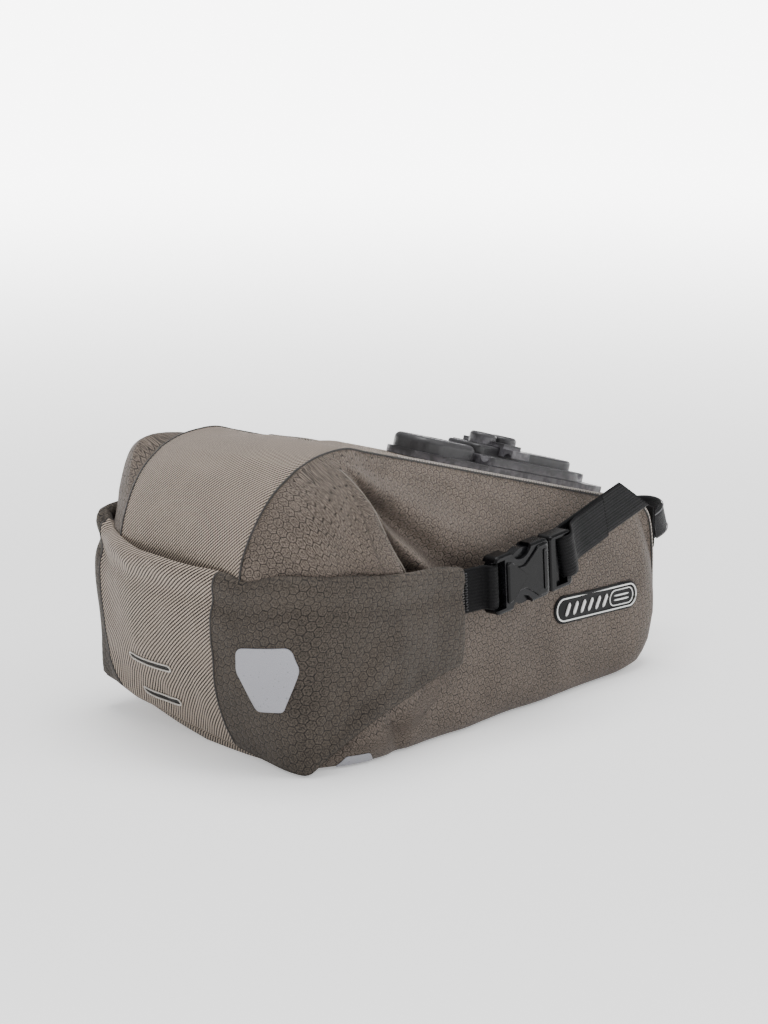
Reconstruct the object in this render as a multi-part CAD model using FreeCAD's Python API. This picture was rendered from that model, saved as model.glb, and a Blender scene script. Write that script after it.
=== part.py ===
import FreeCAD, Part
import math
import os

# Roll-closure saddle bag, millimetres. Working frame: x forward (towards the seat post)
# from the rearmost point of the closure, y to the left, z up from the floor.
# Every shape is moved back by half the overall length when it is written, so the
# origin ends up at the bottom centre of the whole object.

Vec = FreeCAD.Vector

# ---- driving dimensions -------------------------------------------------------------
OVERALL_LENGTH = 378.0      # closure bulge to the front of the seat post strap
FABRIC = 1.6                # coated fabric, thickness of the bag's walls
GAP = 0.4                   # air between stacked soft layers

TOP_SLOPE = 0.2905          # drop of the top per mm forwards
TOP_REF_X, TOP_REF_Z = 84.0, 162.85
NOSE_X = 329.0              # front of the bag's nose
NOSE_CORNER = (329.5, -40.0, 16.0)   # plan corner of the nose and its radius
WALL_X, WALL_Y = 95.0, -90.5     # a point of the flat right side wall
WALL_SLOPE = 0.147          # inward run of the side wall per mm forwards
LEAN_LOW = (75.0, -91.5, 92.0)   # the upper side wall leans in above this line
LEAN_FRONT = (300.0, -58.0, 86.0)
LEAN_TOP = (75.0, -56.0, 162.0)
SEAM_Y, SEAM_SLOPE = -56.5, 0.023    # plane of the seam between side and centre panels

CLOSURE_TOP = 110.0         # height of the rolled edge round the rear
CLOSURE_THICK = 3.0
ROLL_THICK = 1.8            # inner turns of the rolled edge
CLOSURE_OUT = 4.2           # outer face of the closure off the side wall
CLOSURE_SEAMS = (-33.0, 62.0)       # the closure's centre panel lies off the middle
CORNER_X = 30.0             # where the closure turns from the rear to the side
WING_END_X = 141.0
WING_FRONT_LOW, WING_FRONT_TOP = 37.0, 94.5

WEBBING = 25.0              # width of the closure straps
WEB_THICK = 1.5
BUCKLE_X, BUCKLE_Z = 60.0, 82.0      # rear end of the female buckle, along the wall
BUCKLE_TILT, STRAP_TILT = 4.0, 15.0
BUCKLE_LIFT = 2.6           # underside of the buckle off the side wall
BUCKLE_THICK = 10.0

MOUNT_X = 170.0             # rear end of the mount on the sloped top
BASE_TOP = 4.0              # top of the mount's base plate
RAIL_Y, RAIL_R, RAIL_H = 22.0, 3.55, 9.0     # grooves for 7 mm saddle rails
BOLT_S = (60.0, 76.0)       # clamp bolts, along the mount
SCREW_SPOTS = ((52.0, 19.5), (52.0, -19.5), (124.0, 17.0), (124.0, -17.0))
TONGUE_S, TONGUE_H = 20.0, 5.5       # pivot of the release tongue

POST_LEAN = 17.0            # the seat post leans back by this many degrees
POST_X, POST_Z, POST_R = 358.0, 70.0, 18.4
POST_BAND = 16.0

WALL_ANGLE = math.degrees(math.atan(WALL_SLOPE))
TOP_ANGLE = math.degrees(math.atan(TOP_SLOPE))


# ---- helpers ------------------------------------------------------------------------
def box(x0, x1, y0, y1, z0, z1):
    return Part.makeBox(x1 - x0, y1 - y0, z1 - z0, Vec(x0, y0, z0))


def rod(radius, start, end):
    axis = Vec(*end) - Vec(*start)
    return Part.makeCylinder(radius, axis.Length, Vec(*start), axis)


def outline(corners, lift):
    """Closed wire through (a, b, radius) corners, each rounded by its own radius."""
    edges = []
    count = len(corners)
    starts, ends = [], []
    for i, (a, b, radius) in enumerate(corners):
        here = Vec(a, b, 0)
        before = Vec(*corners[i - 1][:2], 0) - here
        after = Vec(*corners[(i + 1) % count][:2], 0) - here
        before.normalize()
        after.normalize()
        half = before.getAngle(after) / 2
        reach = radius / math.tan(half)
        starts.append(here + before * reach)
        ends.append(here + after * reach)
        if radius > 0:
            inward = before + after
            inward.normalize()
            middle = here + inward * (radius / math.sin(half) - radius)
            edges.append((starts[i], middle, ends[i]))
        else:
            edges.append(None)
    pieces = []
    for i in range(count):
        if edges[i]:
            pieces.append(Part.Arc(*[lift(p) for p in edges[i]]).toShape())
        follow = starts[(i + 1) % count]
        if (follow - ends[i]).Length > 1e-6:
            pieces.append(Part.LineSegment(lift(ends[i]), lift(follow)).toShape())
    return Part.Wire(pieces)


def flat(point):
    return Vec(point.x, point.y, 0)


def upright(point):
    return Vec(point.x, 0, point.y)


def plate(corners, low, high):
    """Rounded outline in the XY plane, from height low to high."""
    face = Part.Face(outline(corners, flat))
    return face.extrude(Vec(0, 0, high - low)).translated(Vec(0, 0, low))


def mirrored_corners(half):
    """Completes an outline given for y < 0, from its rear to its front."""
    return half + [(a, -b, r) for a, b, r in reversed(half)]


def half_space(point, inside_normal, size=800.0):
    """A big block on the side of a plane that inside_normal points to."""
    block = Part.makeBox(size, size, size, Vec(-size / 2, -size / 2, 0))
    turn = FreeCAD.Rotation(Vec(0, 0, 1), inside_normal)
    block.Placement = FreeCAD.Placement(point, turn).multiply(block.Placement)
    return block


def flipped(shape):
    return shape.mirror(Vec(0, 0, 0), Vec(0, 1, 0))


def top_z(x):
    return TOP_REF_Z - TOP_SLOPE * (x - TOP_REF_X)


def wall_y(x):
    return WALL_Y + WALL_SLOPE * (x - WALL_X)


def save(name, shape):
    shape = shape.copy()
    shape.translate(Vec(-OVERALL_LENGTH / 2, 0, 0))
    shape.exportStep("parts/%s.step" % name)


def save_pair(name, right):
    save(name + "_right", right)
    save(name + "_left", flipped(right))


def side_frame(shape, along=0.0, up=0.0, tilt=0.0):
    """Places a shape made in wall axes (x along, y up, z outwards) on the right wall."""
    turn = FreeCAD.Rotation(Vec(0, 0, 1), WALL_ANGLE)
    upright_turn = FreeCAD.Rotation(Vec(1, 0, 0), 90)
    wall = FreeCAD.Placement(Vec(WALL_X, WALL_Y, 0), turn.multiply(upright_turn))
    local = FreeCAD.Placement(Vec(along, up, 0), FreeCAD.Rotation(Vec(0, 0, 1), tilt))
    shape = shape.copy()
    shape.Placement = wall.multiply(local).multiply(shape.Placement)
    return shape


def mount_frame(shape):
    """Places a shape made in mount axes (x along the slope, z off the top)."""
    turn = FreeCAD.Rotation(Vec(0, 1, 0), TOP_ANGLE)
    place = FreeCAD.Placement(Vec(MOUNT_X, 0, top_z(MOUNT_X)), turn)
    shape = shape.copy()
    shape.Placement = place.multiply(shape.Placement)
    return shape


def post_frame(shape):
    """Places a shape made round the seat post's leaning axis."""
    turn = FreeCAD.Rotation(Vec(0, 1, 0), -POST_LEAN)
    shape = shape.copy()
    shape.Placement = FreeCAD.Placement(Vec(POST_X, 0, POST_Z), turn).multiply(shape.Placement)
    return shape


# ---- bag body -----------------------------------------------------------------------
def body_solid(inset):
    """The bag's full volume: side profile, plan outline and leaning upper side walls."""
    profile = [
        (36, 0, 4), (13, 108, 40), (27, 143, 28), (50, 161, 24), (84, top_z(84), 40),
        (318, top_z(318), 9), (NOSE_X, 48, 50), (NOSE_X - 3, 0, 27),
    ]
    plan = mirrored_corners([
        (8, -34, 20), (33, -82, 9), (80, wall_y(80), 40), (306, wall_y(306), 22), NOSE_CORNER,
    ])
    side = Part.Face(outline(profile, upright))
    above = Part.Face(outline(plan, flat))
    if inset:
        side = side.makeOffset2D(-inset)
        above = above.makeOffset2D(-inset)
    solid = side.extrude(Vec(0, 240, 0)).translated(Vec(0, -120, 0))
    solid = solid.common(above.extrude(Vec(0, 0, 200)))
    low, front, top = Vec(*LEAN_LOW), Vec(*LEAN_FRONT), Vec(*LEAN_TOP)
    inward = (top - low).cross(front - low)
    inward.normalize()
    if inward.y < 0:
        inward = inward * -1
    lean = half_space(low + inward * inset, inward)
    return solid.common(lean).common(flipped(lean))


def seam_space():
    """Everything on the centre side of the right seam plane."""
    along = Vec(1, SEAM_SLOPE, 0)
    return half_space(Vec(75, SEAM_Y + 1.0, 0), Vec(-along.y, along.x, 0))


def make_bag():
    shell = body_solid(0).cut(body_solid(FABRIC))
    inside_right = seam_space()
    centre = shell.common(inside_right).common(flipped(inside_right))
    for s, y in SCREW_SPOTS:
        centre = centre.cut(mount_frame(rod(2.3, (s, y, -6), (s, y, 6))))
    save("centre_panel", centre)
    save_pair("side_panel", shell.cut(inside_right))


# ---- rolled closure -----------------------------------------------------------------
def closure_curve(z, inset):
    """Plan line of the closure at height z, from the right wing's end to the left's."""
    share = max(z, 1.0) / CLOSURE_TOP
    centre_x = CORNER_X * (1 - share ** 0.75)
    half = []
    for x in (WING_END_X, 115.0, 92.0):
        half.append((x, wall_y(x) - CLOSURE_OUT + inset))
    for x, y in ((74.0, -95.6), (56.0, -93.6), (42.0, -91.0)):
        half.append((x, y + inset))
    half.append((CORNER_X + inset * 0.4, -86.5 + inset * 0.8))
    for y in (-76.0, -50.0, -25.0):
        x = centre_x + (CORNER_X - 4.0 - centre_x) * (y / 84.0) ** 2
        half.append((x + inset, y + inset * 0.5 * y / -76.0))
    points = half + [(centre_x + inset, 0.0)] + [(x, -y) for x, y in reversed(half)]
    return [Vec(x, y, z) for x, y in points]


def closure_band(outer, inner, low, high):
    """Upright U-shaped layer between two insets from the closure's outer face."""
    wires = []
    for step in range(5):
        z = low + (high - low) * step / 4
        curves = []
        for inset in (outer, inner):
            curve = Part.BSplineCurve()
            curve.interpolate(closure_curve(z, inset))
            curves.append(curve.toShape())
        first, second = curves
        ends = [
            Part.LineSegment(first.Vertexes[-1].Point, second.Vertexes[-1].Point).toShape(),
            Part.LineSegment(second.Vertexes[0].Point, first.Vertexes[0].Point).toShape(),
        ]
        wires.append(Part.Wire([first, ends[0], second, ends[1]]))
    return Part.makeLoft(wires, True, False)


def closure_side_cut():
    """Side view of the closure: level rolled edge, wings tapering towards their ends."""
    corners = [
        (-20, 1, 0), (CORNER_X + 6, 1, 2), (WING_END_X + 5, WING_FRONT_LOW + 2, 0),
        (WING_END_X + 5, WING_FRONT_TOP - 1, 0), (46, 108, 20), (26, CLOSURE_TOP, 20),
        (-20, CLOSURE_TOP, 0),
    ]
    face = Part.Face(outline(corners, upright))
    return face.extrude(Vec(0, 300, 0)).translated(Vec(0, -150, 0))


def make_closure():
    band = closure_band(0, CLOSURE_THICK, 1.0, CLOSURE_TOP).common(closure_side_cut())
    middle = box(-20, 200, *CLOSURE_SEAMS, -5, 200)
    panel = band.common(middle)
    slit_long = 34.0
    for y, z in ((29.0, 42.5), (26.0, 21.0)):
        panel = panel.cut(box(-10, 60, y - slit_long / 2, y + slit_long / 2, z - 1, z + 1))
    save("closure_panel", panel)
    save("closure_wing_right", band.common(box(-20, 200, -150, CLOSURE_SEAMS[0], -5, 200)))
    save("closure_wing_left", band.common(box(-20, 200, CLOSURE_SEAMS[1], 150, -5, 200)))
    keep = box(-20, 60, -40, 40, 0, 200)
    roll_face = CLOSURE_THICK + GAP
    strip_face = roll_face + ROLL_THICK + 0.3
    roll = closure_band(roll_face, roll_face + ROLL_THICK, 72, 107)
    save("closure_inner_roll", roll.common(keep))
    strip = closure_band(strip_face, strip_face + 1.0, 88, 106)
    save("closure_stiffener", strip.common(keep))


def make_reflectors():
    """Shield-shaped reflective patches on the rear corners of the wings."""
    skin = closure_band(-1.0, -0.3, 20, 100)
    shield = [(-17, 15, 4), (-19, -2, 8), (-9, -19, 3), (9, -19, 3), (19, -2, 8), (17, 15, 4)]
    block = plate(shield, 0, 60)
    turn = FreeCAD.Rotation(Vec(0, 0, 1), -52).multiply(FreeCAD.Rotation(Vec(1, 0, 0), 90))
    turn = turn.multiply(FreeCAD.Rotation(Vec(0, 0, 1), 10))
    block.Placement = FreeCAD.Placement(Vec(48, -48, 53.5), turn)
    save_pair("reflector", skin.common(block))


# ---- buckles and straps ---------------------------------------------------------------
def on_buckle(shape):
    return side_frame(shape.translated(Vec(0, 0, BUCKLE_LIFT)), BUCKLE_X, BUCKLE_Z, BUCKLE_TILT)


def buckle_block(x0, x1, half, low=0.0, high=BUCKLE_THICK, radius=2.5):
    corners = mirrored_corners([(x0, -half, radius), (x1, -half, radius)])
    return plate(corners, low, high)


def eased(shape, radius):
    """Rounds the edges that lie in the shape's top and bottom faces."""
    low, high = shape.BoundBox.ZMin, shape.BoundBox.ZMax
    rim = []
    for edge in shape.Edges:
        heights = [v.Z for v in edge.Vertexes]
        for level in (low, high):
            if all(abs(h - level) < 1e-6 for h in heights):
                rim.append(edge)
    return shape.makeFillet(radius, rim)


FEMALE_END = 47.0
BAR_LENGTH = 27.2           # clear width of the webbing slots


def make_female():
    body = eased(buckle_block(0, FEMALE_END, 16.5, radius=4), 1.6)
    for side in (-1, 1):
        scoop = Part.makeCylinder(10.0, 30, Vec(22.5, side * 20.5, -10))
        body = body.cut(scoop)
        body = body.cut(box(12.5, 32.5, min(side * 9, side * 20), max(side * 9, side * 20), 1.9, 8.1))
    body = body.cut(box(10, FEMALE_END + 1, -13.2, 13.2, 1.9, 8.1))
    body = body.cut(box(3.8, 8.2, -BAR_LENGTH / 2, BAR_LENGTH / 2, -1, 11))
    return body.cut(box(-1, 3.9, -BAR_LENGTH / 2, BAR_LENGTH / 2, -1, 2.8)).cut(
        box(-1, 3.9, -BAR_LENGTH / 2, BAR_LENGTH / 2, 7.2, 11))


PRONG_ROOT = (46.5, 8.5)
MALE_BAR = (55.8, 58.8)     # middle bar of the ladder lock


def make_male():
    frame = eased(buckle_block(FEMALE_END + 0.5, 67, 16.0, radius=3), 1.4)
    for x0, x1 in ((52.4, MALE_BAR[0]), (MALE_BAR[1], 62.4)):
        frame = frame.cut(box(x0, x1, -BAR_LENGTH / 2, BAR_LENGTH / 2, -1, 11))
    thin = box(MALE_BAR[0] - 0.1, MALE_BAR[1] + 0.1, -BAR_LENGTH / 2, BAR_LENGTH / 2, -1, 3.2)
    frame = frame.cut(thin).cut(thin.translated(Vec(0, 0, 8.0)))
    for rib in range(3):
        x = 63.3 + 1.4 * rib
        frame = frame.cut(box(x, x + 0.6, -12, 12, 9.4, 11))
    guide = buckle_block(13, FEMALE_END + 2, 2.3, 2.6, 7.4, 1.0)
    frame = frame.fuse(guide)
    for side in (-1, 1):
        x, y = PRONG_ROOT
        frame = frame.cut(rod(2.2, (x, side * y, 2.2), (x, side * y, 7.8)))
    return frame.removeSplitter()


def make_prong():
    """One latch arm, y > 0: a bowed finger pad that ends in the latching shoulder."""
    corners = [
        (45, 6.7, 1), (47, 6.9, 1), (47, 10.2, 1), (40, 11.6, 4), (33.5, 11.4, 0.6),
        (31.5, 14.8, 1.2), (24, 16.0, 8), (15.5, 12.4, 2), (14, 9.9, 1), (26, 9.6, 6), (38, 8, 6),
    ]
    arm = plate(corners, 2.4, 7.6)
    x, y = PRONG_ROOT
    return arm.fuse(rod(2.0, (x, y, 2.4), (x, y, 7.6))).removeSplitter()


def loop_round_bar(x0, x1, low, high):
    """Webbing wrapped once round a buckle bar that fills x0..x1, low..high."""
    half = WEBBING / 2
    outer = box(x0 - 0.3 - WEB_THICK, x1 + 0.3 + WEB_THICK, -half, half,
                low - 0.3 - WEB_THICK, high + 0.3 + WEB_THICK)
    rounded = [e for e in outer.Edges if abs(e.Vertexes[0].Y - e.Vertexes[1].Y) > 1]
    outer = outer.makeFillet(1.5, rounded)
    return outer.cut(box(x0 - 0.3, x1 + 0.3, -half - 1, half + 1, low - 0.3, high + 0.3))


def make_buckles():
    prong = make_prong()
    down = prong.mirror(Vec(0, 0, 0), Vec(0, 1, 0))
    save_pair("buckle_female", on_buckle(make_female()))
    save_pair("buckle_male", on_buckle(make_male()))
    save_pair("buckle_prong_upper", on_buckle(prong))
    save_pair("buckle_prong_lower", on_buckle(down))


def make_straps():
    half = WEBBING / 2
    sewn = box(-23.5, -1.2, -half, half, 2.2, 5.0)
    bar_loop = loop_round_bar(0, 3.8, 2.8, 7.2)
    rear = on_buckle(sewn.fuse(bar_loop).removeSplitter())
    save_pair("wing_webbing", rear)

    # the tail: round the ladder bar, over the end bar, and down onto the long strap
    ring = on_buckle(loop_round_bar(MALE_BAR[0], MALE_BAR[1], 3.2, 7.0))
    path = [(-0.4, 7.6), (1.2, 7.9), (3.6, 10.4), (12, 10.6), (15, 10), (25, 1.0), (56, 0.6)]
    profile = [Vec(x, 0, z) for x, z in path] + [Vec(x, 0, z + WEB_THICK) for x, z in reversed(path)]
    band = Part.Face(Part.makePolygon(profile + profile[:1])).extrude(Vec(0, WEBBING, 0))
    band = band.translated(Vec(0, -half, BUCKLE_LIFT))
    pivot = BUCKLE_X + MALE_BAR[0] * math.cos(math.radians(BUCKLE_TILT))
    height = BUCKLE_Z + MALE_BAR[0] * math.sin(math.radians(BUCKLE_TILT))
    tail = side_frame(band, pivot, height, STRAP_TILT)
    save_pair("strap_tail", ring.fuse(tail).removeSplitter())

    corners = [(-10, -half, 0), (97, -half, 0), (74, half, 0), (-10, half, 0)]
    long_strap = plate(corners, 0.5, 0.5 + WEB_THICK)
    save_pair("front_strap", side_frame(long_strap, pivot, height, STRAP_TILT))


def nose_layer(inset_from_bag, thickness, low, high, rear_x):
    """Band round the front of the nose, following the bag's plan outline."""
    plan = mirrored_corners([
        (200, wall_y(200), 0), (306, wall_y(306), 22), NOSE_CORNER,
    ])
    face = Part.Face(outline(plan, flat))
    outer = face.makeOffset2D(inset_from_bag + thickness)
    inner = face.makeOffset2D(inset_from_bag)
    band = outer.cut(inner).extrude(Vec(0, 0, high - low)).translated(Vec(0, 0, low))
    return band.common(box(rear_x, 400, -100, 100, 0, 200))


def make_nose():
    save("nose_webbing", nose_layer(0.2, WEB_THICK, 66, 90, 322))
    side = [(-39, -8, 7.9), (39, -8, 7.9), (39, 8, 7.9), (-39, 8, 7.9)]
    patch = plate(side, 0.3, 1.0)
    save_pair("side_patch", side_frame(patch, 167, 50, -3.3))


def sector(inner, outer, start, end):
    """Part of a ring round the seat post axis, between two angles in degrees."""
    width = POST_BAND
    profile = Part.Face(Part.makePolygon([
        Vec(inner, 0, -width / 2), Vec(outer, 0, -width / 2), Vec(outer, 0, width / 2),
        Vec(inner, 0, width / 2), Vec(inner, 0, -width / 2),
    ]))
    profile.rotate(Vec(0, 0, 0), Vec(0, 0, 1), start)
    return profile.revolve(Vec(0, 0, 0), Vec(0, 0, 1), end - start)


def make_post_strap():
    """Hook-and-loop band for the seat post: sewn base with two ends, and the long end."""
    thick = 1.4
    root_r = POST_R - thick / 2
    high = POST_BAND / 2
    front = NOSE_X + 1.5 + 0.2 + WEB_THICK + 0.2
    patch = box(front, front + 1.4, -22, 22, 64, 88)
    inner_r = POST_R - thick - GAP
    left_leg = box(-40, -1.2, root_r - thick / 2, root_r + thick / 2, -high, high)
    right_leg = box(-40, 0, -inner_r, -inner_r + thick, -high, high)
    curl = sector(inner_r - thick, inner_r, -90, -45)
    base = post_frame(left_leg.fuse(right_leg).fuse(curl))
    base = base.common(box(front, 500, -60, 60, 0, 200)).fuse(patch)
    save("seatpost_strap_base", base.removeSplitter())
    long_end = sector(POST_R - thick, POST_R, -96, 90)
    knuckle = rod(thick / 2, (0, root_r, -high), (0, root_r, high))
    save("seatpost_strap_end", post_frame(long_end.fuse(knuckle).removeSplitter()))


# ---- mount ----------------------------------------------------------------------------
HEAD_SPANS = ((60.0, 80.0), (104.0, 124.0))     # T-shaped rails of the base plate
HOUSING_TOP = 12.5
PAD_S = 31.0                # middle of the tongue's finger pad


def make_mount_base():
    foot = mirrored_corners([
        (0, -13, 11), (12, -23, 14), (42, -30, 14), (132, -27, 20), (150, -15, 11),
    ])
    base = plate(foot, 0.2, BASE_TOP)
    house = [(1, -11.5, 10), (14, -17.4, 10), (42, -17.4, 5)]
    house = plate(mirrored_corners(house), BASE_TOP - 0.5, HOUSING_TOP)
    rim = [e for e in house.Edges if all(abs(v.Z - HOUSING_TOP) < 1e-6 for v in e.Vertexes)]
    base = base.fuse(house.makeFillet(3.5, rim))
    oval = Part.Face(Part.Wire([Part.Ellipse(Vec(PAD_S, 0, 0), 10.5, 9.0).toShape()]))
    base = base.cut(oval.extrude(Vec(0, 0, 20)).translated(Vec(0, 0, BASE_TOP)))
    base = base.cut(box(17.6, 55, -7.2, 7.2, 1.0, 7.6))
    x, z = TONGUE_S, TONGUE_H
    base = base.cut(rod(1.65, (x, -9.2, z), (x, 9.2, z)))
    for s0, s1 in HEAD_SPANS:
        base = base.fuse(box(s0, s1, -8, 8, BASE_TOP - 0.5, 6)).fuse(box(s0, s1, -12, 12, 5.8, 8))
    for s, y in SCREW_SPOTS:
        base = base.cut(rod(2.2, (s, y, -1), (s, y, 6)))
        base = base.cut(Part.makeCone(2.2, 4.3, 2.2, Vec(s, y, BASE_TOP - 2.19)))
    save("mount_base", mount_frame(base.removeSplitter()))


def make_tongue():
    arm = box(TONGUE_S, 52, -6.5, 6.5, 4.6, 6.4)
    pad = Part.Face(Part.Wire([Part.Ellipse(Vec(PAD_S, 0, 0), 7.5, 6.4).toShape()]))
    pad = pad.extrude(Vec(0, 0, 3.4)).translated(Vec(0, 0, 6.2))
    pad = pad.makeFillet(1.0, [e for e in pad.Edges if e.BoundBox.ZMin > 9.5])
    tooth = Part.Face(Part.makePolygon([
        Vec(48.5, -5, 6.2), Vec(51.8, -5, 6.2), Vec(49.8, -5, 10), Vec(48.5, -5, 10), Vec(48.5, -5, 6.2),
    ])).extrude(Vec(0, 10, 0))
    trunnion = rod(1.6, (TONGUE_S, -9, TONGUE_H), (TONGUE_S, 9, TONGUE_H))
    tongue = arm.fuse(pad).fuse(tooth).fuse(trunnion).removeSplitter()
    save("release_tongue", mount_frame(tongue))
    leaf = Part.Face(Part.makePolygon([
        Vec(27, -3, 1.1), Vec(31, -3, 1.1), Vec(43, -3, 4.0), Vec(43, -3, 4.5), Vec(30.8, -3, 1.6),
        Vec(27, -3, 1.6), Vec(27, -3, 1.1),
    ])).extrude(Vec(0, 6, 0))
    save("tongue_spring", mount_frame(leaf))


BRACKET = (43.5, 134.0)
SPINE_TOP, RIM_TOP = 14.5, 9.2


def hexagon(s, across, low, high):
    reach = across / math.sqrt(3)
    points = [Vec(s + reach * math.cos(math.radians(60 * k)), reach * math.sin(math.radians(60 * k)), low)
              for k in range(7)]
    return Part.Face(Part.makePolygon(points)).extrude(Vec(0, 0, high - low))


def make_bracket():
    start, end = BRACKET
    foot = mirrored_corners([(start, -28, 4), (112, -28, 22), (end, -14, 10)])
    body = plate(foot, BASE_TOP + 0.3, RIM_TOP)
    rim = [e for e in body.Edges if all(abs(v.Z - RIM_TOP) < 1e-6 for v in e.Vertexes)]
    body = body.makeFillet(1.0, rim)
    spine = plate(mirrored_corners([(start, -14, 6), (127, -14, 12)]), RIM_TOP - 1, SPINE_TOP)
    crest = [e for e in spine.Edges if all(abs(v.Z - SPINE_TOP) < 1e-6 for v in e.Vertexes)]
    body = body.fuse(spine.makeFillet(1.6, crest))
    for y in (-RAIL_Y, RAIL_Y):
        body = body.cut(rod(RAIL_R, (0, y, RAIL_H), (180, y, RAIL_H)))
    body = body.cut(box(0, 127, -12.3, 12.3, 0, 8.3))
    for s0, s1 in HEAD_SPANS:
        for y0, y1 in ((-12.6, -8.3), (8.3, 12.6)):
            body = body.fuse(box(s0 + 0.5, s1, y0, y1, BASE_TOP + 0.3, 5.5))
    body = body.cut(box(48, 52.3, -7, 7, 8, 11))
    for s in BOLT_S:
        body = body.cut(hexagon(s, 8.2, 8, 12.4)).cut(rod(2.75, (s, 0, 8), (s, 0, 20)))
    save("rail_bracket", mount_frame(body.removeSplitter()))


def make_clamp():
    lobes = None
    for s in BOLT_S:
        lobe = Part.makeCylinder(7.8, 6.4, Vec(s, 0, SPINE_TOP + 0.3))
        top = [e for e in lobe.Edges if e.BoundBox.ZMin > SPINE_TOP + 6]
        lobe = lobe.makeFillet(2.2, top)
        lobes = lobe if lobes is None else lobes.fuse(lobe)
    bar = box(61, 75, -25.2, 25.2, 10.2, 14.6).fuse(box(61, 75, -17, 17, 10.2, 17.2))
    jaw = bar.cut(box(50, 86, -14.3, 14.3, 0, SPINE_TOP + 0.3)).fuse(lobes)
    for y in (-RAIL_Y, RAIL_Y):
        jaw = jaw.cut(rod(RAIL_R, (0, y, RAIL_H), (180, y, RAIL_H)))
    for s in BOLT_S:
        jaw = jaw.cut(rod(2.75, (s, 0, 10), (s, 0, 30))).cut(rod(4.9, (s, 0, 16.2), (s, 0, 30)))
    save("clamp_jaw", mount_frame(jaw.removeSplitter()))
    nuts = []
    for s, name in zip(BOLT_S, ("clamp_bolt_rear", "clamp_bolt_front")):
        head = Part.makeCylinder(4.6, 2.8, Vec(s, 0, 16.3))
        head = head.makeFillet(1.2, [e for e in head.Edges if e.BoundBox.ZMin > 18.5])
        bolt = head.fuse(rod(2.45, (s, 0, 8.8), (s, 0, 16.5))).cut(hexagon(s, 3.0, 17.2, 20))
        save(name, mount_frame(bolt.removeSplitter()))
        nuts.append(hexagon(s, 8.0, 8.5, 12.3).cut(rod(2.5, (s, 0, 5), (s, 0, 20))))
    save("clamp_nuts", mount_frame(Part.makeCompound(nuts)))


def make_fixings():
    """Plate inside the bag under the mount, with its screws and nuts."""
    inside = -FABRIC - 0.2
    stiffener = plate(mirrored_corners([(10, -34, 8), (140, -34, 8)]), inside - 3, inside)
    screws, nuts = [], []
    for s, y in SCREW_SPOTS:
        stiffener = stiffener.cut(rod(2.3, (s, y, -20), (s, y, 5)))
        head = Part.makeCone(2.0, 4.1, 2.1, Vec(s, y, BASE_TOP - 2.2))
        shank = rod(1.95, (s, y, inside - 8), (s, y, BASE_TOP - 2))
        screws.append(head.fuse(shank).cut(hexagon(0, 2.5, BASE_TOP - 1.6, 6).translated(Vec(s, y, 0))))
        nut = hexagon(0, 7.0, inside - 6.4, inside - 3.2).translated(Vec(s, y, 0))
        nuts.append(nut.cut(rod(2.0, (s, y, -20), (s, y, 0))))
    save("top_stiffener", mount_frame(stiffener))
    save("base_screws", mount_frame(Part.makeCompound([s.removeSplitter() for s in screws])))
    save("base_nuts", mount_frame(Part.makeCompound(nuts)))


os.makedirs("parts", exist_ok=True)
make_bag()
make_closure()
make_reflectors()
make_buckles()
make_straps()
make_nose()
make_post_strap()
make_mount_base()
make_tongue()
make_bracket()
make_clamp()
make_fixings()
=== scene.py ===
"""Looks of the roll-closure saddle bag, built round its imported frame."""
import functools
import math

import bpy
import numpy as np
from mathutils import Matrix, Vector, noise


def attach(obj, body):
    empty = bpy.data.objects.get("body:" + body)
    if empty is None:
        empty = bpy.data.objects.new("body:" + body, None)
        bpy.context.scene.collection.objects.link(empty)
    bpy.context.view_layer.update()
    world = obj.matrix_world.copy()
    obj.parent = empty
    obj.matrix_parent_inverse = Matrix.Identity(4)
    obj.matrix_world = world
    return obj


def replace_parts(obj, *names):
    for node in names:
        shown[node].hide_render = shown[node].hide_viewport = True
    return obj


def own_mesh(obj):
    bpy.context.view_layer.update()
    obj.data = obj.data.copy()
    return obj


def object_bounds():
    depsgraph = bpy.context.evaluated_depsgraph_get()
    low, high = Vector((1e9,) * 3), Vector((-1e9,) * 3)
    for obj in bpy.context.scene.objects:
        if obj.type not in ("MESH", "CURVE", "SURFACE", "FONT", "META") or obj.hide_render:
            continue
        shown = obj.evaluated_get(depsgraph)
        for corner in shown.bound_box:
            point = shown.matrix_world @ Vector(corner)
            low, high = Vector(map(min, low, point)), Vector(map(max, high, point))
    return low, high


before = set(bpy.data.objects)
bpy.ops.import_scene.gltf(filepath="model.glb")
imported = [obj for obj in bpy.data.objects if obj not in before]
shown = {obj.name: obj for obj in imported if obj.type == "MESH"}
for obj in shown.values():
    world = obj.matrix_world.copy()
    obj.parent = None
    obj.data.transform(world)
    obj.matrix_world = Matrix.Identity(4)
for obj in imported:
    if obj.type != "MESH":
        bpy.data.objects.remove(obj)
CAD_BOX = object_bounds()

# Lengths below are millimetres in the bag's own axes: x forward from the rearmost point of
# the closure, y to the left, z up from the floor.
REAR = CAD_BOX[0].x


def metres(points):
    """The row frame's metres for points in the bag's millimetres."""
    return np.asarray(points, float) * 0.001 + (REAR, 0, 0)


# ---- curves and numbers
def smooth(low, high, x):
    t = np.clip((x - low) / (high - low), 0, 1)
    return t * t * (3 - 2 * t)


def bell(x, width):
    return np.exp(-(x / width) ** 2)


def quarter(t):
    """Rise from 0 to 1 like a quarter of a circle."""
    return np.sqrt(1 - (1 - np.clip(t, 0, 1)) ** 2)


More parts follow.
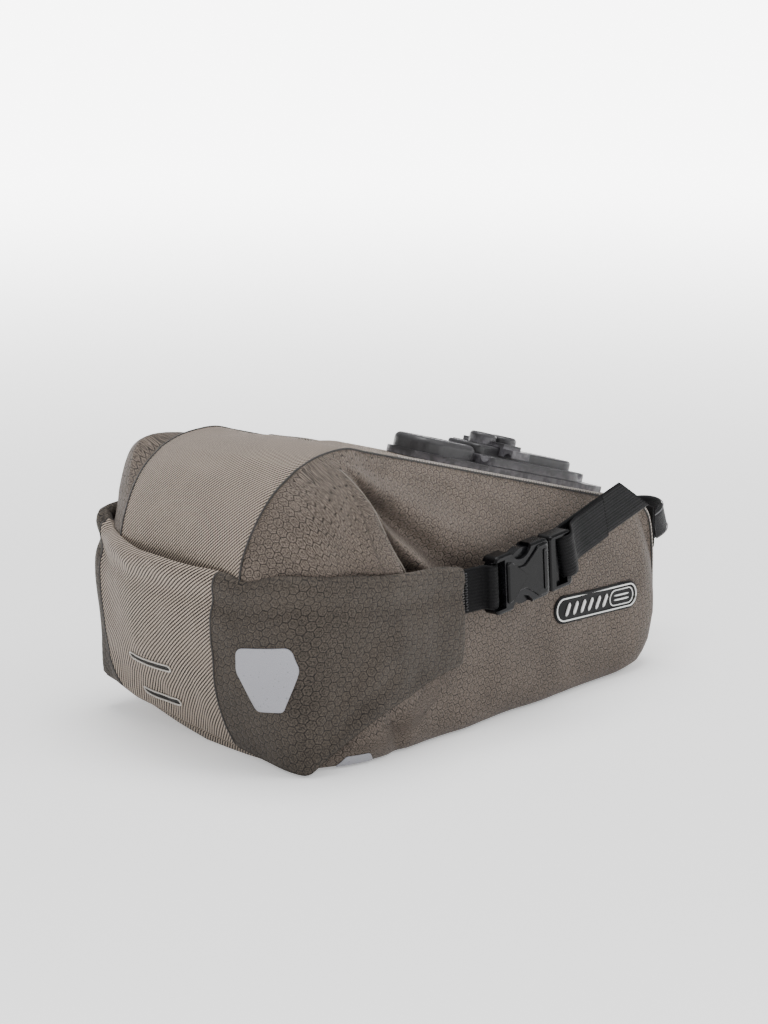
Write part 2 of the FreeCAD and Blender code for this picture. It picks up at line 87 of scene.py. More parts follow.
def spline(points, count):
    """Centripetal curve through the points, evenly resampled."""
    p = np.asarray(points, float)
    p = np.vstack([2 * p[0] - p[1], p, 2 * p[-1] - p[-2]])
    out = []
    for a, b, c, d in zip(p, p[1:], p[2:], p[3:]):
        t1 = max(np.linalg.norm(b - a), 1e-6) ** 0.5
        t2 = t1 + max(np.linalg.norm(c - b), 1e-6) ** 0.5
        t3 = t2 + max(np.linalg.norm(d - c), 1e-6) ** 0.5
        t = np.linspace(t1, t2, 24, endpoint=False)[:, None]
        e = (t1 - t) / t1 * a + t / t1 * b
        f = (t2 - t) / (t2 - t1) * b + (t - t1) / (t2 - t1) * c
        g = (t3 - t) / (t3 - t2) * c + (t - t2) / (t3 - t2) * d
        h = (t2 - t) / t2 * e + t / t2 * f
        k = (t3 - t) / (t3 - t1) * f + (t - t1) / (t3 - t1) * g
        out.append((t2 - t) / (t2 - t1) * h + (t - t1) / (t2 - t1) * k)
    out = np.vstack(out + [p[-2][None]])
    return resample(out, np.linspace(0, 1, count))


def lengths(line):
    """Running length of a line at each of its points."""
    step = np.linalg.norm(np.diff(line, axis=0), axis=1)
    return np.concatenate([[0], np.cumsum(step)])


def resample(line, share):
    run = lengths(line)
    at = np.asarray(share) * run[-1]
    return np.stack([np.interp(at, run, line[:, k]) for k in range(line.shape[1])], axis=-1)


def polyline(x, pairs):
    """Value at x on straight lines between (x, value) pairs."""
    return np.interp(x, *np.array(pairs, float).T)


@functools.lru_cache(maxsize=None)
def table(pairs):
    return spline(pairs, 400)


def lookup(x, pairs):
    """Value at x on a smooth curve through (x, value) pairs."""
    return polyline(x, table(tuple(pairs)))


def ripple(points, size, seed=0.0):
    """Slow noise, about -1 to 1, at each point."""
    flat = np.asarray(points, float).reshape(-1, 3) / size + seed
    values = [noise.noise(Vector(p)) for p in flat]
    return np.array(values).reshape(np.asarray(points).shape[:-1]) * 1.6


# ---- mesh helpers
def add_mesh(name, points, faces, weave, material, body, slot, mirror=False):
    """Smooth mesh that rides a body; weave is each point's place in the flat cloth, in mm."""
    points = np.array(points, float).reshape(-1, 3)
    if mirror:
        points = points * (1, -1, 1)
        faces = [face[::-1] for face in faces]
    mesh = bpy.data.meshes.new(name)
    mesh.from_pydata(metres(points).tolist(), [], faces)
    mesh.update()
    mesh.validate()
    mesh.polygons.foreach_set("use_smooth", [True] * len(mesh.polygons))
    layer = mesh.attributes.new("weave", "FLOAT_VECTOR", "POINT")
    layer.data.foreach_set("vector", np.array(weave, float).reshape(-1, 3).ravel())
    obj = bpy.data.objects.new(name, mesh)
    bpy.context.collection.objects.link(obj)
    mesh.materials.append(material)
    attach(obj, body)
    return obj


def grid_faces(rows, cols, wrap_rows=False, wrap_cols=False):
    faces = []
    for i in range(rows if wrap_rows else rows - 1):
        for j in range(cols if wrap_cols else cols - 1):
            k, l = (i + 1) % rows, (j + 1) % cols
            faces.append((i * cols + j, i * cols + l, k * cols + l, k * cols + j))
    return faces


def tube_parts(line, radius, sides=6, closed=False):
    """Points and faces of a thin round tube along a line, tapered at open ends."""
    line = np.asarray(line, float)
    count = len(line)
    if closed:
        along = np.roll(line, -1, axis=0) - np.roll(line, 1, axis=0)
    else:
        along = np.gradient(line, axis=0)
    along /= np.maximum(np.linalg.norm(along, axis=1, keepdims=True), 1e-9)
    up = np.array([0.31, 0.17, 0.93])
    one = np.cross(along, up)
    one /= np.maximum(np.linalg.norm(one, axis=1, keepdims=True), 1e-9)
    two = np.cross(along, one)
    wide = np.full(count, radius)
    if not closed:
        wide[0] = wide[-1] = radius * 0.35
    angle = np.linspace(0, 2 * math.pi, sides, endpoint=False)
    ring = (one[:, None] * np.cos(angle)[None, :, None]
            + two[:, None] * np.sin(angle)[None, :, None]) * wide[:, None, None]
    points = line[:, None] + ring
    run = lengths(line)
    weave = np.stack([np.repeat(run[:, None], sides, 1),
                      np.repeat((angle * radius)[None], count, 0),
                      np.zeros((count, sides))], axis=-1)
    faces = grid_faces(count, sides, closed, True)
    if not closed:
        faces.append(tuple(range(sides))[::-1])
        faces.append(tuple(range((count - 1) * sides, count * sides)))
    return points.reshape(-1, 3), faces, weave.reshape(-1, 3)


def joined(parts):
    """One set of points, faces and weave from several."""
    points, faces, weave, base = [], [], [], 0
    for p, f, w in parts:
        points.append(p.reshape(-1, 3))
        weave.append(w.reshape(-1, 3))
        faces += [tuple(k + base for k in face) for face in f]
        base += len(points[-1])
    return np.vstack(points), faces, np.vstack(weave)


def ribbon_parts(line, across, width, thick, ribs=0, shear=None):
    """Woven strap: a closed band along a line, with rounded selvedges and fine ribs.

    across is the direction of the strap's width at each point of the line."""
    line = np.asarray(line, float)
    across = np.broadcast_to(np.asarray(across, float), line.shape)
    across = across / np.linalg.norm(across, axis=1, keepdims=True)
    along = np.gradient(line, axis=0)
    along /= np.linalg.norm(along, axis=1, keepdims=True)
    out = np.cross(along, across)
    out /= np.linalg.norm(out, axis=1, keepdims=True)
    k = max(9, ribs * 4 + 1)
    side = np.linspace(-1, 1, k)
    depth = 0.5 * thick * np.sqrt(np.clip(1 - np.abs(side) ** 14, 0.0, 1))
    if ribs:
        depth = depth - 0.1 * (0.5 - 0.5 * np.cos(side * math.pi * ribs)) * (np.abs(side) < 0.99)
    ring_side = np.concatenate([side, side[::-1][1:-1]])
    ring_out = np.concatenate([depth, -depth[::-1][1:-1]])
    run = lengths(line)
    slide = np.zeros((len(line), len(ring_side)))
    if shear is not None:
        slide = shear(np.linspace(0, 1, len(line))[:, None], ring_side[None])
    points = (line[:, None] + across[:, None] * (ring_side * width / 2)[None, :, None]
              + out[:, None] * ring_out[None, :, None] + along[:, None] * slide[..., None])
    weave = np.stack([run[:, None] + slide, np.repeat((ring_side * width / 2)[None], len(line), 0),
                      np.repeat(ring_out[None], len(line), 0)], axis=-1)
    faces = grid_faces(len(line), len(ring_side), False, True)
    for base, flip in ((0, True), ((len(line) - 1) * len(ring_side), False)):
        for i in range(k - 1):
            low_a = base + (len(ring_side) - i) % len(ring_side)
            low_b = base + (len(ring_side) - i - 1) % len(ring_side)
            face = (base + i, base + i + 1, low_b, low_a)
            if i == 0:
                face = (base, base + 1, low_b)
            if i == k - 2:
                face = (base + i, base + i + 1, low_a)
            faces.append(face if flip else face[::-1])
    return points.reshape(-1, 3), faces, weave.reshape(-1, 3)


# ---- materials
class Cloth:
    """Small builder for a material's node tree."""

    def __init__(self, name):
        self.material = bpy.data.materials.new(name)
        self.material.use_nodes = True
        self.tree = self.material.node_tree
        self.tree.nodes.clear()
        self.shader = self.tree.nodes.new("ShaderNodeBsdfPrincipled")
        end = self.tree.nodes.new("ShaderNodeOutputMaterial")
        self.tree.links.new(self.shader.outputs[0], end.inputs[0])

    def put(self, socket, value):
        if isinstance(value, bpy.types.NodeSocket):
            self.tree.links.new(value, socket)
        else:
            socket.default_value = value

    def node(self, kind, inputs=(), **settings):
        node = self.tree.nodes.new(kind)
        for key, value in settings.items():
            setattr(node, key, value)
        for key, value in inputs:
            self.put(node.inputs[key], value)
        return node

    def math(self, operation, *values):
        node = self.node("ShaderNodeMath", enumerate(values), operation=operation)
        return node.outputs[0]

    def times(self, one, two):
        return self.math("MULTIPLY", one, two)

    def plus(self, one, two):
        return self.math("ADD", one, two)

    def sine(self, angle):
        return self.math("SINE", angle)

    def vector(self, operation, *values):
        node = self.node("ShaderNodeVectorMath", enumerate(values), operation=operation)
        return node.outputs["Value" if operation in ("LENGTH", "DOT_PRODUCT") else "Vector"]

    def weave(self):
        return self.node("ShaderNodeAttribute", attribute_name="weave").outputs["Vector"]

    def place(self):
        return self.node("ShaderNodeTexCoord").outputs["Object"]

    def split(self, vector):
        node = self.node("ShaderNodeSeparateXYZ", [(0, vector)])
        return node.outputs[0], node.outputs[1], node.outputs[2]

    def noise(self, where, scale, detail=2.0, rough=0.5):
        node = self.node("ShaderNodeTexNoise", [("Vector", where), ("Scale", scale),
                                                ("Detail", detail), ("Roughness", rough)])
        return node.outputs["Fac"]

    def ramp(self, value, low, high, to_low=0.0, to_high=1.0):
        node = self.node("ShaderNodeMapRange", [("Value", value), ("From Min", low),
                                                ("From Max", high), ("To Min", to_low),
                                                ("To Max", to_high)])
        node.interpolation_type = "SMOOTHSTEP"
        return node.outputs["Result"]

    def mix(self, share, one, two):
        node = self.node("ShaderNodeMix", data_type="RGBA")
        self.put(node.inputs[0], share)
        self.put(node.inputs[6], one)
        self.put(node.inputs[7], two)
        return node.outputs[2]

    def bump(self, height, distance, strength=1.0, below=None):
        node = self.node("ShaderNodeBump", [("Height", height), ("Distance", distance),
                                            ("Strength", strength)])
        if below is not None:
            self.put(node.inputs["Normal"], below)
        return node.outputs["Normal"]

    def finish(self, color, rough, normal=None, **values):
        self.put(self.shader.inputs["Base Color"], color)
        self.put(self.shader.inputs["Roughness"], rough)
        if normal is not None:
            self.put(self.shader.inputs["Normal"], normal)
        for key, value in values.items():
            self.shader.inputs[key.replace("_", " ")].default_value = value
        return self.material


def shade(r, g, b):
    """Linear colour of a screen colour given in 0-255."""
    return tuple(((c / 255 + 0.055) / 1.055) ** 2.4 if c > 10 else c / 255 / 12.92
                 for c in (r, g, b)) + (1.0,)


def hexagons(m, where, size):
    """Distance from the edge of a net of hexagons, 0 at the edge to 0.5 at a centre."""
    pitch = (1.0, 1.7320508, 1.0)
    half = (0.5, 0.8660254, 0.5)
    p = m.vector("ADD", m.vector("SCALE", where), (400.0, 692.82032, 0.0))
    p.node.inputs[0].links[0].from_node.inputs["Scale"].default_value = 1 / size
    nearest = None
    for start in ((0.0, 0.0, 0.0), half):
        cell = m.vector("MODULO", m.vector("ADD", p, start), pitch)
        off = m.vector("ABSOLUTE", m.vector("SUBTRACT", cell, half))
        slant = m.vector("DOT_PRODUCT", off, (0.5, 0.8660254, 0.0))
        reach = m.math("MAXIMUM", m.split(off)[0], slant)
        nearest = reach if nearest is None else m.math("MINIMUM", nearest, reach)
    return m.math("SUBTRACT", 0.5, nearest)


def ripstop(name, light, dark, size=6.4, turn=0.0, line=0.06):
    """Coated nylon with an embossed net of hexagons over a fine plain weave, with painted shade in the net's grooves
    and a painted highlight along their rims.
    """
    m = Cloth(name)
    w = m.weave()
    wobble = m.node("ShaderNodeTexNoise", [("Vector", w), ("Scale", 0.06), ("Detail", 1.0)])
    drift = m.node("ShaderNodeVectorMath", [(0, wobble.outputs["Color"]), ("Scale", 2.2)], operation="SCALE")
    laid = m.node("ShaderNodeVectorRotate", [("Vector", m.vector("ADD", w, drift.outputs[0])),
                                             ("Angle", math.radians(turn))], rotation_type="Z_AXIS")
    edge = hexagons(m, laid.outputs[0], size)
    grain = m.noise(w, 1.0, 3.0, 0.8)
    cloud = m.noise(w, 0.035, 3.0, 0.6)
    scuff = m.noise(w, 0.32, 4.0, 0.7)
    pressed = m.ramp(m.noise(w, 0.16, 2.0), 0.32, 0.52, 0.6, 1.0)
    groove = m.ramp(edge, 0.0, line)
    # painted highlight: rim is a light band beside each groove, mixed into the colour below
    rim = m.times(m.ramp(edge, line, line * 1.8), m.ramp(edge, line * 2.0, line * 3.4, 1.0, 0.0))
    pillow = m.ramp(edge, 0.0, 0.34)
    x, y, _ = m.split(w)
    warp = m.sine(m.times(x, 2 * math.pi / 0.8))
    weft = m.sine(m.times(y, 2 * math.pi / 0.8))
    plain = m.times(warp, weft)
    tone = m.plus(m.ramp(grain, 0.38, 0.62, 0.0, 0.76), m.ramp(cloud, 0.3, 0.7, 0.0, 0.16))
    tone = m.plus(tone, m.times(plain, 0.1))
    body = m.mix(tone, dark, light)
    pale = tuple(min(1, c * 1.35) for c in light[:3]) + (1,)
    body = m.mix(m.ramp(scuff, 0.62, 0.78, 0.0, 0.14), body, pale)
    # painted highlight: the pale colour laid along the grooves' rims where the net is pressed
    body = m.mix(m.times(m.times(rim, pressed), 0.25), body, pale)
    # painted shade: the colour is darkened along the grooves of the embossed net
    groove_shaded = m.mix(m.times(m.times(m.math("SUBTRACT", 1.0, groove), pressed), 0.92), body,
                  tuple(c * 0.22 for c in dark[:3]) + (1,))
    height = m.plus(m.times(groove, 0.6), m.times(pillow, 0.4))
    fine = m.plus(m.times(plain, 0.30), grain)
    normal = m.bump(height, 0.00045, 0.8)
    normal = m.bump(fine, 0.00018, 0.6, normal)
    rough = m.ramp(grain, 0.2, 0.8, 0.60, 0.78)
    return m.finish(groove_shaded, rough, normal, Sheen_Weight=0.05, Sheen_Roughness=0.45,
                    Specular_IOR_Level=0.22)


def twill(name, light, dark, pitch=1.6, slope=1.0, cover=(-0.55, 0.55)):
    """Coarse diagonal twill of two-tone yarn."""
    m = Cloth(name)
    w = m.weave()
    bend = m.node("ShaderNodeTexNoise", [("Vector", w), ("Scale", 0.03), ("Detail", 1.0)])
    drift = m.node("ShaderNodeVectorMath", [(0, bend.outputs["Color"]), ("Scale", 0.9)], operation="SCALE")
    x, y, _ = m.split(m.vector("ADD", w, drift.outputs[0]))
    run = math.hypot(1.0, slope)
    over = m.plus(m.times(x, slope / run), m.times(y, -1.0 / run))
    along = m.plus(m.times(x, 1.0 / run), m.times(y, slope / run))
    wave = m.sine(m.times(over, 2 * math.pi / pitch))
    twist = m.sine(m.plus(m.times(along, 2 * math.pi / (pitch * 1.15)),
                                  m.times(over, 1.2)))
    grain = m.noise(w, 1.3, 3.0, 0.7)
    cloud = m.noise(w, 0.03, 3.0, 0.6)
    cord = m.plus(wave, m.times(twist, 0.30))
    yarn = m.ramp(cord, cover[0], cover[1])
    tone = m.times(yarn, m.ramp(grain, 0.25, 0.75, 0.62, 1.0))
    body = m.mix(tone, dark, light)
    shaded = m.mix(m.ramp(cloud, 0.3, 0.72, 0.0, 0.22), body, tuple(c * 0.55 for c in light[:3]) + (1,))
    height = m.plus(m.times(cord, 0.5), m.times(grain, 0.4))
    normal = m.bump(height, 0.0003, 0.8)
    return m.finish(shaded, m.ramp(grain, 0.2, 0.8, 0.68, 0.84), normal,
                    Sheen_Weight=0.06, Sheen_Roughness=0.5, Specular_IOR_Level=0.22)


def strap_cloth(name, tone=(26, 26, 28)):
    """Black ribbed webbing."""
    m = Cloth(name)
    w = m.weave()
    x, y, _ = m.split(w)
    rib = m.sine(m.times(y, 2 * math.pi / 1.9))
    pick = m.sine(m.plus(m.times(x, 2 * math.pi / 0.95),
                                 m.times(m.math("SIGN", rib), 1.6)))
    grain = m.noise(w, 1.8, 2.0, 0.7)
    cloud = m.noise(w, 0.08, 2.0)
    height = m.plus(m.times(rib, 0.5), m.times(pick, 0.35))
    tone_share = m.plus(m.ramp(height, -0.6, 0.8, 0.0, 0.55), m.ramp(grain, 0.3, 0.7, 0.0, 0.35))
    tone_share = m.plus(tone_share, m.ramp(cloud, 0.35, 0.7, 0.0, 0.1))
    low, high = shade(*(c * 0.5 for c in tone)), shade(*(c * 1.75 for c in tone))
    body = m.mix(tone_share, low, high)
    normal = m.bump(height, 0.00022, 0.8)
    return m.finish(body, m.ramp(grain, 0.2, 0.8, 0.48, 0.66), normal,
                    Sheen_Weight=0.015, Sheen_Roughness=0.4, Specular_IOR_Level=0.12)


def hook_and_loop(name):
    m = Cloth(name)
    w = m.weave()
    pile = m.noise(w, 2.4, 4.0, 0.8)
    lay = m.noise(w, 0.25, 3.0, 0.6)
    body = m.mix(m.plus(m.ramp(pile, 0.3, 0.7, 0.0, 0.6), m.ramp(lay, 0.3, 0.7, 0.0, 0.4)),
                 shade(8, 8, 9), shade(34, 34, 36))
    normal = m.bump(pile, 0.00035, 0.9)
    return m.finish(body, m.ramp(lay, 0.3, 0.7, 0.62, 0.85), normal, Sheen_Weight=0.12,
                    Sheen_Roughness=0.35, Specular_IOR_Level=0.25)


def thread(name, tone):
    m = Cloth(name)
    x, y, _ = m.split(m.weave())
    ply = m.sine(m.plus(m.times(x, 9.0), m.times(y, 3.0)))
    grain = m.noise(m.weave(), 3.0, 2.0)
    body = m.mix(m.times(m.ramp(ply, -1.0, 1.0, 0.35, 1.0), m.ramp(grain, 0.2, 0.8, 0.7, 1.0)),
                 tuple(c * 0.45 for c in tone[:3]) + (1,), tone)
    return m.finish(body, 0.6, m.bump(ply, 0.0001, 0.6), Sheen_Weight=0.1)


def plastic(name, tone, rough, grain_size=1600.0, grain_depth=0.00005, shine=0.5):
    """Moulded nylon with a fine spark-eroded grain and a painted highlight on its sharp edges."""
    m = Cloth(name)
    p = m.place()
    grain = m.noise(p, grain_size, 2.0, 0.6)
    cloud = m.noise(p, 60.0, 3.0, 0.6)
    flow = m.noise(p, 260.0, 2.0, 0.5)
    edge = m.node("ShaderNodeNewGeometry").outputs["Pointiness"]
    # painted highlight: sharp edges, found by pointiness, are lightened in patches
    painted_edge_highlight = m.times(m.ramp(edge, 0.515, 0.60), m.ramp(flow, 0.35, 0.65, 0.35, 1.0))
    dark, light = shade(*(c * 0.78 for c in tone)), shade(*(c * 1.25 for c in tone))
    body = m.mix(m.ramp(cloud, 0.3, 0.7), dark, light)
    body = m.mix(m.times(painted_edge_highlight, 0.5), body, shade(*(c * 2.4 + 18 for c in tone)))
    scuffed = m.ramp(m.plus(m.times(grain, 0.5), m.times(cloud, 0.5)),
                     0.3, 0.7, rough[0], rough[1])
    return m.finish(body, scuffed, m.bump(grain, grain_depth, 0.5), Specular_IOR_Level=shine)


def steel(name):
    m = Cloth(name)
    p = m.place()
    brushed = m.noise(m.vector("MULTIPLY", p, (300.0, 300.0, 2600.0)), 1.0, 3.0, 0.7)
    spots = m.noise(p, 180.0, 3.0, 0.6)
    body = m.mix(m.ramp(spots, 0.35, 0.7), shade(150, 150, 154), shade(196, 196, 198))
    return m.finish(body, m.ramp(brushed, 0.2, 0.8, 0.2, 0.42), m.bump(brushed, 0.00003, 0.4),
                    Metallic=1.0)


def film(name):
    """Silver-grey reflective film: tiny beads, and short dark flecks."""
    m = Cloth(name)
    w = m.weave()
    beads = m.noise(w, 3.2, 2.0, 0.7)
    drift = m.node("ShaderNodeTexVoronoi", [("Vector", w), ("Scale", 0.42), ("Randomness", 1.0)])
    fleck = m.ramp(drift.outputs["Distance"], 0.13, 0.20, 1.0, 0.0)
    choice = m.ramp(m.noise(w, 0.6, 1.0), 0.44, 0.52)
    body = m.mix(m.ramp(beads, 0.25, 0.75), shade(120, 120, 126), shade(158, 158, 164))
    body = m.mix(m.times(m.times(fleck, choice), 0.5), body, shade(78, 78, 84))
    return m.finish(body, m.ramp(beads, 0.2, 0.8, 0.3, 0.46), m.bump(beads, 0.00006, 0.4),
                    Metallic=0.25, Specular_IOR_Level=0.6)


def print_ink(name, tone, shine):
    m = Cloth(name)
    w = m.weave()
    grain = m.noise(w, 1.6, 3.0, 0.6)
    wear = m.noise(w, 0.5, 3.0, 0.7)
    body = m.mix(m.ramp(grain, 0.3, 0.7), shade(*(c * 0.9 for c in tone)), shade(*tone))
    body = m.mix(m.ramp(wear, 0.66, 0.8, 0.0, 0.3), body, shade(*(c * 0.7 for c in tone)))
    return m.finish(body, m.ramp(grain, 0.3, 0.7, 0.42, 0.55), m.bump(grain, 0.00008, 0.4),
                    Specular_IOR_Level=shine)


TWILL = twill("mat_twill", shade(172, 157, 143), shade(3, 2, 2), 1.55)
SIDE = ripstop("mat_ripstop_side", shade(112, 101, 92), shade(32, 27, 23), 5.2, turn=22)
# painted shade: the closure's wings use a darker copy of the side ripstop
WING_SHADED = ripstop("mat_ripstop_wing_shaded", shade(82, 74, 66), shade(17, 14, 12), 5.2, turn=38)
# painted highlight: a lighter colour for the tube along the crease's lip
FOLD_EDGE_HIGHLIGHT = thread("mat_fold_edge_highlight", shade(128, 119, 110))
# dark ripstop for the slits' openings: the lining's dark colour, deepened as painted shade
LINING_SHADED = ripstop("mat_lining_shaded", shade(36, 33, 30), shade(16, 15, 14), 9.0)
SEAM = thread("mat_seam_thread", shade(34, 30, 27))
PIPING = twill("mat_piping", shade(200, 192, 184), shade(96, 90, 84), 1.1, 0.6)
STRAP = strap_cloth("mat_webbing", (7, 7, 8))
LOOP = hook_and_loop("mat_hook_and_loop")
LOOP_EDGE = thread("mat_loop_edge", shade(104, 104, 106))
BLACK_THREAD = thread("mat_black_thread", shade(40, 40, 43))
GREY_THREAD = thread("mat_grey_thread", shade(96, 92, 88))
PALE_THREAD = thread("mat_pale_thread", shade(206, 200, 192))
FILM = film("mat_reflective_film")
PATCH = print_ink("mat_patch", (9, 9, 10), 0.15)
INK = print_ink("mat_patch_ink", (232, 232, 230), 0.4)
BUCKLE = plastic("mat_buckle_plastic", (4, 4, 5), (0.16, 0.30), shine=0.15)
MOUNT = plastic("mat_mount_plastic", (42, 41, 43), (0.34, 0.50), 1100.0, 0.0001, 0.4)
STEEL = steel("mat_steel")

# ---- the bag's own shape
TOP_LINE = [(84 + 12 * k, 162.6 - 3.486 * k) for k in range(19)]
REAR_EDGE = [(34, 2), (24, 40), (16, 80), (15, 108), (22, 128.5), (34, 146), (48, 156.5)]
TOP_EDGE = [(48, 156.5), (60, 160.8), (72, 162.6)] + TOP_LINE + [(309, 96.6)]
FRONT_EDGE = [(297, 1.6), (311, 4.6), (321, 15), (325, 30), (326, 50), (325.5, 70), (322, 87), (316, 94), (309, 96.6)]
BOTTOM_EDGE = [(34, 2), (60, 1.6), (160, 1.6), (260, 1.6), (297, 1.6)]
WALL = [(8, 62), (31, 83), (50, 88.5), (69, 91), (107, 88.2), (149, 82.3), (191, 76.2), (225, 71.0),
        (264, 65.2), (289, 61.5), (330, 55)]
SEAM_TOP = [(8, 50), (24, 55), (48, 57.5), (75, 56.5), (150, 53.5), (230, 50), (290, 47), (312, 45), (330, 45)]


def wall_width(x):
    """Half width of the bag at the middle of its height."""
    return lookup(x, WALL)


def seam_width(x, z):
    """Half width of the centre strip: wide at the bottom, narrow at the top."""
    top = lookup(x, SEAM_TOP)
    rise = smooth(0, 1, z / np.maximum(top_height(x), 1))
    return (wall_width(x) - 9) * (1 - rise) + top * rise


def top_height(x):
    return lookup(x, REAR_EDGE[3:] + TOP_EDGE[1:] + [(327, 60)])


def side_width(x, z):
    """How far the side wall stands from the bag's middle plane."""
    t = z / top_height(x)
    over = np.clip((t - 0.45) / 0.55, 0, 1)
    full = 1 - smooth(50, 100, x)
    share = 1 - over ** (1.9 + 5.0 * full)
    share = share * quarter(z / 11)
    rear = polyline(z, [p[::-1] for p in REAR_EDGE])
    share = share * quarter((x - rear + 0.01) / (30 - 16 * smooth(110, 140, z)))
    front = polyline(z, [p[::-1] for p in FRONT_EDGE])
    share = share * quarter((front - x + 0.01) / 24)
    base = seam_width(x, z)
    return base + (wall_width(x) - base) * share, share


def settled(points):
    """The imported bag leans: its rear top sags to the left and its rear left corner lifts."""
    x, y, z = points[..., 0], points[..., 1], points[..., 2]
    behind = smooth(120, 150, x)
    sag = (2.8 + 0.056 * np.clip(y, -50, 62)) * (1 - behind)
    sag = sag + 4.3 * smooth(28, 50, y) * behind * (1 - smooth(200, 300, x))
    sag = sag * smooth(0.72, 0.96, z / top_height(x))
    rise = np.interp(y, [0, 36, 59, 75, 90], [0, 5, 8, 12, 14])
    rise = rise * (1 - smooth(34, 115, x)) * (1 - smooth(0, 70, z))
    return np.stack([x, y, z - sag + rise], -1)


# crease of the gusset: its run down the side wall, seen from the side
CREASE = [(66.5, 174), (67, 160), (69, 150), (73.5, 134), (80.5, 119), (86.5, 109), (94, 98), (106, 75),
          (129, 30), (147, -5)]
CREASE_LINE = spline(CREASE, 300)


def crease_x(z):
    """Where the gusset's crease runs at a height."""
    return polyline(-z, CREASE_LINE[:, ::-1] * (-1, 1))


def folded(x, z, width, share):
    """The gusset fold of the side panel: a lip that overlaps a hollow in front of it.

    w is the depth below the crease's upper end, q the way forward from the crease, and fan the angle between
    the crease and the line from its upper end. pits are the hollows in front, and dent the slack near the floor."""
    w = (162 - z) * 1.09
    q = (x - crease_x(z)) * 0.9
    below = np.where(w > 0, 1, 0)
    fade = 1 - smooth(60, 104, w)
    grow = smooth(0, 34, w) * fade
    side = smooth(-0.7, 0.7, q)
    reach = np.hypot(w, q)
    fan = np.degrees(np.arctan2(q, np.maximum(w, 1e-3)))
    deep = smooth(3, 34, reach) * (1 - smooth(66, 118, reach)) * below
    pits = -15.5 * bell(fan - 2, 8.5) - 11.0 * bell(fan - 27, 7.5)
    pits = pits + 2.6 * bell(fan - 14.5, 4.0) + 2.4 * bell(fan - 46, 8.0) - 1.6 * bell(fan - 60, 6.0)
    pits = pits + 0.12 * np.sin(np.radians(fan) * 26) * smooth(30, 45, fan)
    step = -3.0 * grow * np.exp(-np.maximum(q, 0) / 16)
    lip = 3.0 * grow * bell(q + 7, 13) * (1 - side)
    lip = lip + 1.2 * smooth(0, 10, w) * fade * bell(q, 4.0) * (1 - side) * below
    ridge = -3.2 * bell(fan + 20, 10.0) * deep * (1 - side)
    dent = -4.5 * np.exp(-((x - 90 + (z - 15) * 0.25) / 5.5) ** 2 - ((z - 15) / 14.0) ** 2)
    dent = dent - 5.0 * np.exp(-((x - 46) / 13) ** 2 - ((z - 16) / 10.0) ** 2)
    slide = 3.0 * grow * bell(q + 1.0, 2.6) * (1 - side)
    return x + slide, z + slide * 0.4, width + lip + ridge + (pits * deep + step) * side + dent


def on_side(x, z):
    """Point of the right side wall that belongs to a place in its side view."""
    width, share = side_width(x, z)
    fx, fz, fw = folded(x, z, width, share)
    at = np.stack([x, z, x * 0], -1)
    soft = ripple(at, 34.0, 3.1) * 0.9 + ripple(at, 13.0, 8.4) * 0.22
    return np.stack([fx, -(fw + soft * smooth(0.0, 0.4, share)), fz], -1), share


def coons(left, right, low, top, u, v):
    u, v = np.meshgrid(u, v)
    L, R = resample(left, v[:, 0])[:, None], resample(right, v[:, 0])[:, None]
    B, T = resample(low, u[0])[None], resample(top, u[0])[None]
    u, v = u[..., None], v[..., None]
    return ((1 - v) * B + v * T + (1 - u) * L + u * R
            - (1 - u) * (1 - v) * low[0] - u * (1 - v) * low[-1]
            - (1 - u) * v * top[0] - u * v * top[-1])


edges = [spline(e, 600) for e in (REAR_EDGE, FRONT_EDGE, BOTTOM_EDGE, TOP_EDGE)]
crest_run = lengths(edges[3])
crest = np.interp(66.8, edges[3][:, 0], crest_run / crest_run[-1])
fine = np.array([-3.4, -2.5, -1.8, -1.2, -0.8, -0.45, -0.15, 0.15, 0.45, 0.8, 1.2, 1.8, 2.5, 3.4]) / crest_run[-1]
u = np.concatenate([np.linspace(0, 0.04, 20, endpoint=False),
                    np.linspace(0.04, crest + fine[0] * 1.2, 24, endpoint=False),
                    crest + fine, np.linspace(crest + fine[-1] * 1.25, 0.42, 64, endpoint=False),
                    np.linspace(0.42, 0.9, 70, endpoint=False), np.linspace(0.9, 1, 24)])
v = np.concatenate([np.linspace(0, 0.1, 16, endpoint=False), np.linspace(0.1, 1, 110)])
flat = coons(*edges, u, v)
px, pz = flat[..., 0], flat[..., 1]
# swing the columns near the crease so that they run along it
middle = px @ np.where(np.abs(u - crest) < 0.2 / crest_run[-1], 0.5, 0.0)
height_there = pz @ np.where(np.abs(u - crest) < 0.2 / crest_run[-1], 0.5, 0.0)
swing = (crease_x(height_there) - middle) * smooth(0.0, 0.2, v) * (1 - smooth(0.975, 1.0, v))
px = px + swing[:, None] * bell(px - middle[:, None], 42) * smooth(0.0, 0.1, u)[None]
panel, share = on_side(px, pz)
plain = np.stack([px, -side_width(px, pz)[0], pz], -1)
step_row = np.linalg.norm(np.diff(plain, axis=1, prepend=plain[:, :1]), axis=-1).cumsum(1)
step_col = np.linalg.norm(np.diff(plain, axis=0, prepend=plain[:1]), axis=-1).cumsum(0)
key = int(np.argmin(np.abs(px[60] - 150)))
lip_at = int(np.argmin(np.abs(u - crest)))
before = np.arange(len(u)) < lip_at
